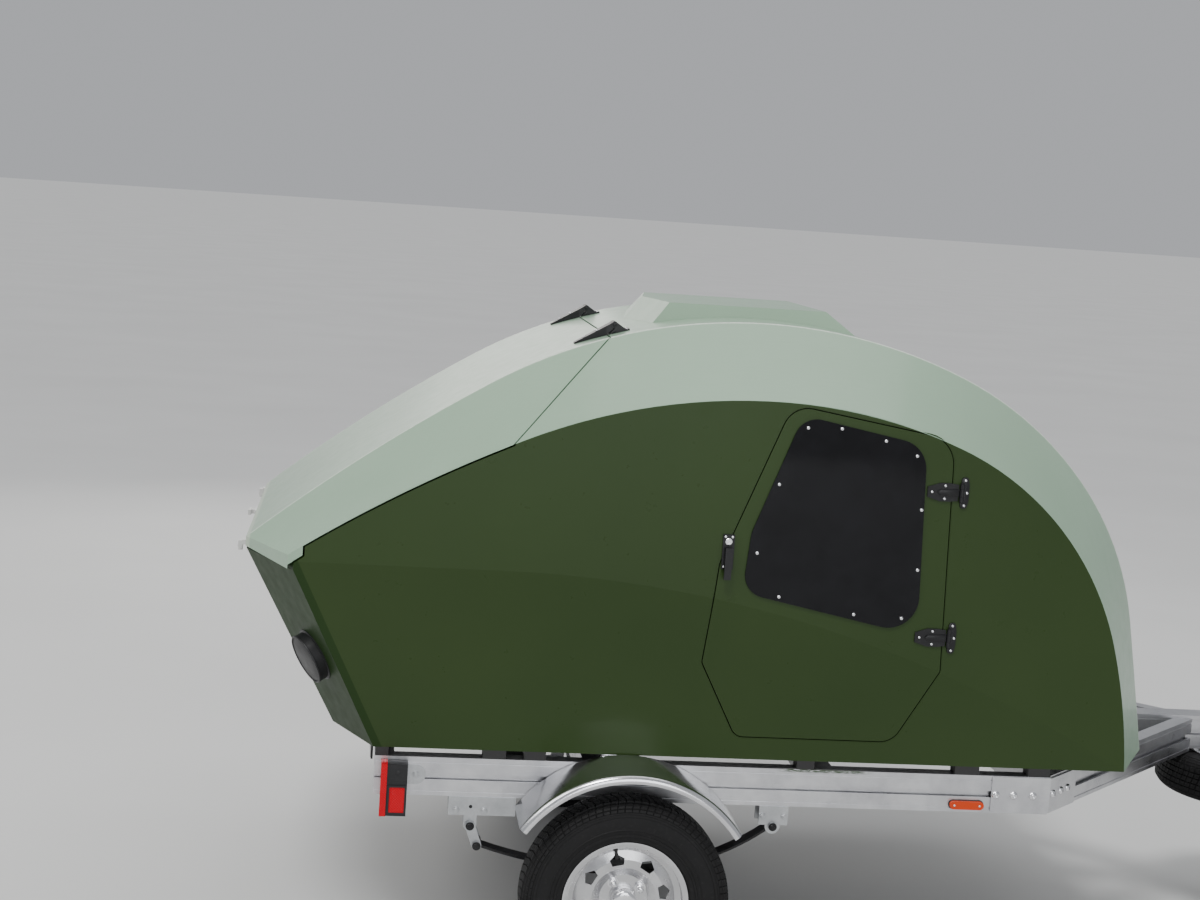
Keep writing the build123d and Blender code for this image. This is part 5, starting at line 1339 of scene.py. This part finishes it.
    def add_rail_details(self) -> None:
        """Hex bolts, black discs of painted shade in the hanger holes, and body clips of the side rails."""
        shape = Shape()
        shape.fasten(Head.HEX, self.rail_bolt, LEFT, *self.rail_bolts)
        shape.fasten(Head.HEX, self.cross_bolt, RIGHT,
                     *product(self.cross_bolt_x, (self.cross_bolt_y,), self.cross_bolt_z))
        self.shop.make_twin(shape, "frame_hex_bolts", FinishName.ZINC)
        shape = Shape()
        # Thin black discs paint the shade inside the hanger's bolt holes.
        shape.lathe(self.hole_shade_outline, at(*self.hanger_hole) @ facing(LEFT), HEAD_SIDES)
        self.shop.make_twin(shape, "hanger_hole_shade_discs", FinishName.BLACK_COAT)
        shape = Shape()
        for low, high in self.clips:
            shape.block(low, high, self.clip_soft)
        self.shop.make_twin(shape, "body_clips", FinishName.POLISHED)

    def add_tongue_bolts(self) -> None:
        """Bolts of the tongue plates, coupler and spare wheel carrier."""
        shape = Shape()
        shape.fasten(Head.HEX, self.apex_bolt, DOWN, *self.apex_bolts)
        shape.fasten(Head.HEX, self.chain_bolt, DOWN, *self.chain_bolts)
        shape.fasten(Head.HEX, self.coupler_bolt, LEFT, *self.coupler_bolts)
        shape.twin()
        shape.fasten(Head.HEX, self.carrier_nut, DOWN, self.carrier_place)
        shape.fasten(Head.HEX, self.apex_bolt, DOWN, self.apex_middle_bolt)
        self.shop.make(shape, "tongue_bolts", FinishName.ZINC)
        shape = Shape()
        shape.rod(*self.lever_pin, self.lever_pin_radius, soft=1.0)
        shape.block(*self.lever_pad, self.lever_pad_soft)
        self.shop.make(shape, "coupler_lever_trim", FinishName.ZINC)

    def add_jack_details(self) -> None:
        """Grip, caps, bolts and foot rim of the parking jack."""
        x, y = self.jack_middle
        bottom, top = self.grip_ends
        ribs = [(r, h + i * self.rib_pitch) for i in range(self.grip_ribs) for r, h in self.grip_rib]
        shape = Shape()
        shape.lathe([*bottom, *ribs, *top], at(x - self.grip_reach, y, self.grip_z), 32)
        self.shop.make(shape, "jack_grip", FinishName.RUBBER)
        shape = Shape()
        shape.lathe(self.jack_cap, at(x, y, self.jack_cap_z), 40, True)
        shape.lathe(self.jack_ring, at(x, y, self.jack_ring_z), 40, True)
        dx, dy = self.jack_bolt_reach
        shape.fasten(Head.HEX, self.jack_bolt, LEFT, *product((x - dx, x + dx), (y - dy,), self.jack_bolt_z))
        shape.fasten(Head.HEX, self.jack_nut, UP, (x, y, self.jack_nut_z))
        self.shop.make(shape, "jack_fittings", FinishName.ZINC)
        shape = Shape()
        shape.lathe(self.foot_collar, at(x, y, 0.0), 40, True)
        shape.lathe(self.foot_rim, at(x, y, 0.0), 48, True)
        self.shop.make(shape, "jack_foot_trim", FinishName.ZINC, "jack_leg")

    def add_lamp_details(self) -> None:
        """Bezels of the tail lamps and bases of the marker lamps."""
        shape = Shape()
        outer, inner = (rounded_box(low, high, radius, 4) for low, high, radius in self.bezel_boxes)
        shape.band(outer, inner, at(0.0, self.bezel_y, 0.0) @ SIDE_ON, -self.bezel_rise)
        shape.block(*self.lamp_foot, self.lamp_soft)
        shape.rod(*self.lamp_stud, self.lamp_stud_radius, soft=self.lamp_soft)
        self.shop.make_twin(shape, "lamp_bezels", FinishName.BLACK_PLASTIC)
        rear, front = self.marker_x
        z = self.marker_z
        radius = self.marker_radius
        ends = arc((front, z), radius, 90, -90, 12) + arc((rear, z), radius, 270, 90, 12)
        shape = Shape()
        shape.plate(ends, at(0.0, self.marker_base_y, 0.0) @ SIDE_ON, -self.marker_base_rise, self.lamp_soft)
        self.shop.make_twin(shape, "marker_bases", FinishName.BLACK_PLASTIC)
        shape = Shape()
        places = product(self.marker_screw_x, (self.marker_screw_y,), (z,))
        shape.fasten(Head.PAN, self.marker_screw, LEFT, *places)
        self.shop.make_twin(shape, "marker_screws", FinishName.CHROME)

    def add_blank_plate(self) -> None:
        """Blank plate with a raised rim on its holder."""
        turn = at(*self.plate_place) @ Matrix.Rotation(math.radians(-90), 4, "Z") @ SIDE_ON
        outer, inner = (rounded_box((-x, -z), (x, z), radius, 6)
                        for x, z, radius in (self.number_plate, self.plate_rim))
        shape = Shape()
        shape.plate(outer, turn, self.plate_thickness)
        seat, rise = self.plate_rim_rise
        shape.band(outer, inner, turn @ at(0.0, 0.0, seat), rise)
        dx, dz = self.plate_screw_reach
        places = [turn @ Vector(row) for row in product((-dx, dx), (-dz, dz), (self.plate_thickness,))]
        shape.fasten(Head.PAN, self.plate_screw, turn.to_3x3() @ Vector(UP), *places)
        self.shop.make(shape, "blank_plate", FinishName.WHITE_METAL)


@dataclass
class RunningGear:
    """Wheels, tyres, springs and fenders."""

    shop: FinishShop
    looks: Looks = ((FinishName.SILVER, "wheel_left wheel_right spare_rim"),)
    axle: Vec = (652.0, 808.0, 270.0)
    spare: Vec = (2687.7, 0.0, 431.0)
    wheel_turn: float = -10.0
    lug_angles: tuple[float, ...] = (45.0, 135.0, 225.0, 315.0)
    lug_circle: float = 50.8
    lug_nut: Point = (11.8, 17.0)
    lug_seat: float = 5.0
    lug_cap: Points = ((8.6, 0.0), (8.4, 3.0), (7.0, 6.0), (4.0, 8.0), (0.0, 8.6))
    lug_cap_seat: float = 21.8
    hub_cap: Points = (
        (33.5, 0.0), (33.5, 4.0), (32.6, 5.0), (32.6, 22.0), (33.6, 23.5), (33.6, 26.0), (31.0, 29.0),
        (29.0, 34.6), (26.0, 37.4), (20.0, 39.2), (10.0, 40.0), (0.0, 40.2))
    valve_angle: float = 112.5
    valve_places: Points = ((114.0, 21.0), (136.0, 31.5), (146.0, 36.0))
    valve_stem: Point = (5.2, 3.4)
    valve_cap: float = 4.4
    valve_sides: int = 16
    pitches: int = 84
    tread_radius: float = 262.0
    shoulder_radii: Point = (246.0, 261.9)
    tread_inset: Point = (1.7, 4.6)
    shoulder_inset: Point = (1.5, 2.2)
    lean_radius: float = 240.0
    lean: float = 0.028
    lean_width: float = 60.0
    tyre_outline: Points = (
        (153.4, 45.5), (163.8, 45.8), (165.0, 52.0), (168.5, 56.5), (174.0, 58.0), (180.0, 58.8),
        (181.0, 61.2), (186.0, 61.4), (187.0, 59.4), (196.0, 60.4), (197.0, 61.6), (199.0, 61.7),
        (200.0, 60.8), (222.0, 61.4), (231.0, 60.0), (232.0, 61.4), (238.0, 61.0), (239.0, 59.0),
        (243.0, 58.2), (252.0, 55.4), (259.5, 49.0), (264.0, 41.0), (264.8, 25.0), (265.0, 8.5))
    fender_y: tuple[float, ...] = (706.0, 790.0, 877.0)
    fender_radii: Point = (347.0, 344.5)
    fender_bend: Point = (332.0, 877.0)
    fender_bend_radii: Point = (15.0, 12.5)
    fender_hem: Points = ((327.0, 891.9), (325.3, 891.0), (325.2, 889.6), (327.0, 889.2))
    fender_angles: Point = (35.0, 145.0)
    spring_y: float = 676.0
    pin_nut: Point = (8.6, 6.0)
    pin_nut_y: Point = (710.0, 642.0)
    pins: Points = ((254.0, 414.0), (274.0, 361.0), (1052.0, 436.0))
    clamp_nut: Point = (9.0, 7.0)
    clamp_reach: Point = (26.5, 29.0)
    clamp_z: Point = (311.5, 242.0)

    def build(self) -> None:
        """Dress the running gear and add tyres, fenders and fasteners."""
        self.shop.dress(self.looks)
        self.add_tyres()
        self.add_wheel_details()
        self.add_fenders()
        self.add_spring_details()

    def make_tyre(self, place: Matrix) -> Shape:
        """Tyre with raised tread blocks and a ribbed sidewall.

        Args:
            place: Where the tyre's middle stands, its axis along Z.

        Returns:
            The tyre.
        """
        half = list(self.tyre_outline)
        shape = Shape()
        shape.lathe(half + [(r, -h) for r, h in reversed(half)], Matrix.Identity(4), self.pitches, True)
        bmesh.ops.recalc_face_normals(shape.bm, faces=shape.bm.faces)
        faces = [(f, f.calc_center_median().to_2d().length) for f in shape.bm.faces]
        low, high = self.shoulder_radii
        tread = [f for f, radius in faces if radius > self.tread_radius]
        shoulders = [f for f, radius in faces if low < radius < high]
        for rows, (width, rise) in ((tread, self.tread_inset), (shoulders, self.shoulder_inset)):
            bmesh.ops.inset_individual(shape.bm, faces=rows, thickness=width, depth=rise,
                                       use_even_offset=True)
        for vert in shape.bm.verts:
            if vert.co.to_2d().length > self.lean_radius:
                lean = self.lean * math.sin(vert.co.z / self.lean_width * math.pi)
                vert.co.rotate(Matrix.Rotation(lean, 3, "Z"))
        shape.settle(shape.bm.verts, place)
        return shape

    def add_tyres(self) -> None:
        """Treaded tyres in place of the plain ones."""
        road = at(*self.axle) @ facing(LEFT)
        left, right = self.shop.make_both(self.make_tyre(road), "treaded_tyre", FinishName.TYRE, WHEELS)
        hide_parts("tyre_left")
        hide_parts("tyre_right")
        piece = self.shop.make(self.make_tyre(at(*self.spare)), "treaded_spare", FinishName.TYRE)
        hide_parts("spare_tyre")

    def spoke(self, angle: float, radius: float, out: float) -> Vector:
        """Place on the left wheel.

        Args:
            angle: Angle in degrees from the front.
            radius: Distance from the axle.
            out: Distance outwards from the wheel's seat.

        Returns:
            The place.
        """
        turn = math.radians(angle + self.wheel_turn)
        x, y, z = self.axle
        return Vector((x + radius * math.cos(turn), y + out, z + radius * math.sin(turn)))

    def add_wheel_details(self) -> None:
        """Lug nuts, hub cap and valve of the road wheels."""
        side = facing(LEFT)
        shape = Shape()
        for angle in self.lug_angles:
            shape.fasten(Head.HEX, self.lug_nut, LEFT, self.spoke(angle, self.lug_circle, self.lug_seat))
            shape.lathe(self.lug_cap, at(*self.spoke(angle, self.lug_circle, self.lug_cap_seat)) @ side, 24)
        shape.lathe(self.hub_cap, at(*self.axle) @ side, 56)
        self.shop.make_both(shape, "hub_chrome", FinishName.CHROME, WHEELS)
        start, middle, end = (self.spoke(self.valve_angle, *place) for place in self.valve_places)
        shape = Shape()
        shape.rod(start, middle, *self.valve_stem, self.valve_sides)
        shape.rod(middle, end, self.valve_cap, None, self.valve_sides, 0.8)
        self.shop.make_both(shape, "valve_stem", FinishName.RUBBER, WHEELS)

    def add_fenders(self) -> None:
        """Rolled sheet fenders with a rounded outer lip."""
        outer, inner = self.fender_radii
        bend_out, bend_in = self.fender_bend_radii
        line = [(outer, y) for y in self.fender_y] + arc(self.fender_bend, bend_out, 15, 90, 5)
        line += [*self.fender_hem, *arc(self.fender_bend, bend_in, 90, 15, 5)]
        line += [(inner, y) for y in reversed(self.fender_y)]
        shape = Shape()
        place = at(self.axle[0], 0.0, self.axle[2]) @ SIDE_ON
        shape.sweep([(r, -y) for r, y in line], place, *self.fender_angles, 56)
        left, right = self.shop.make_both(shape, "rolled_fender", FinishName.POLISHED, ("trailer", "trailer"))
        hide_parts("fender_left")
        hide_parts("fender_right")

    def add_spring_details(self) -> None:
        """Nuts of the spring pins and of the axle clamps."""
        shape = Shape()
        for y, out in zip(self.pin_nut_y, (LEFT, RIGHT)):
            shape.fasten(Head.HEX, self.pin_nut, out, *((x, y, z) for x, z in self.pins))
        self.shop.make_twin(shape, "spring_pin_nuts", FinishName.BLACK_COAT)
        shape = Shape()
        x = self.axle[0]
        y = self.spring_y
        dx, dy = self.clamp_reach
        for z, out in zip(self.clamp_z, (UP, DOWN)):
            shape.fasten(Head.HEX, self.clamp_nut, out, *product((x - dx, x + dx), (y - dy, y + dy), (z,)))
        self.shop.make_twin(shape, "clamp_nuts", FinishName.ZINC)


def main() -> None:
    """Build the whole trailer in order."""
    logging.basicConfig(level=logging.INFO, format="%(message)s")
    shop = FinishShop()
    Studio().build()
    CamperBody(shop).build()
    TrailerFrame(shop).build()
    RunningGear(shop).build()


if __name__ == "__main__":
    main()
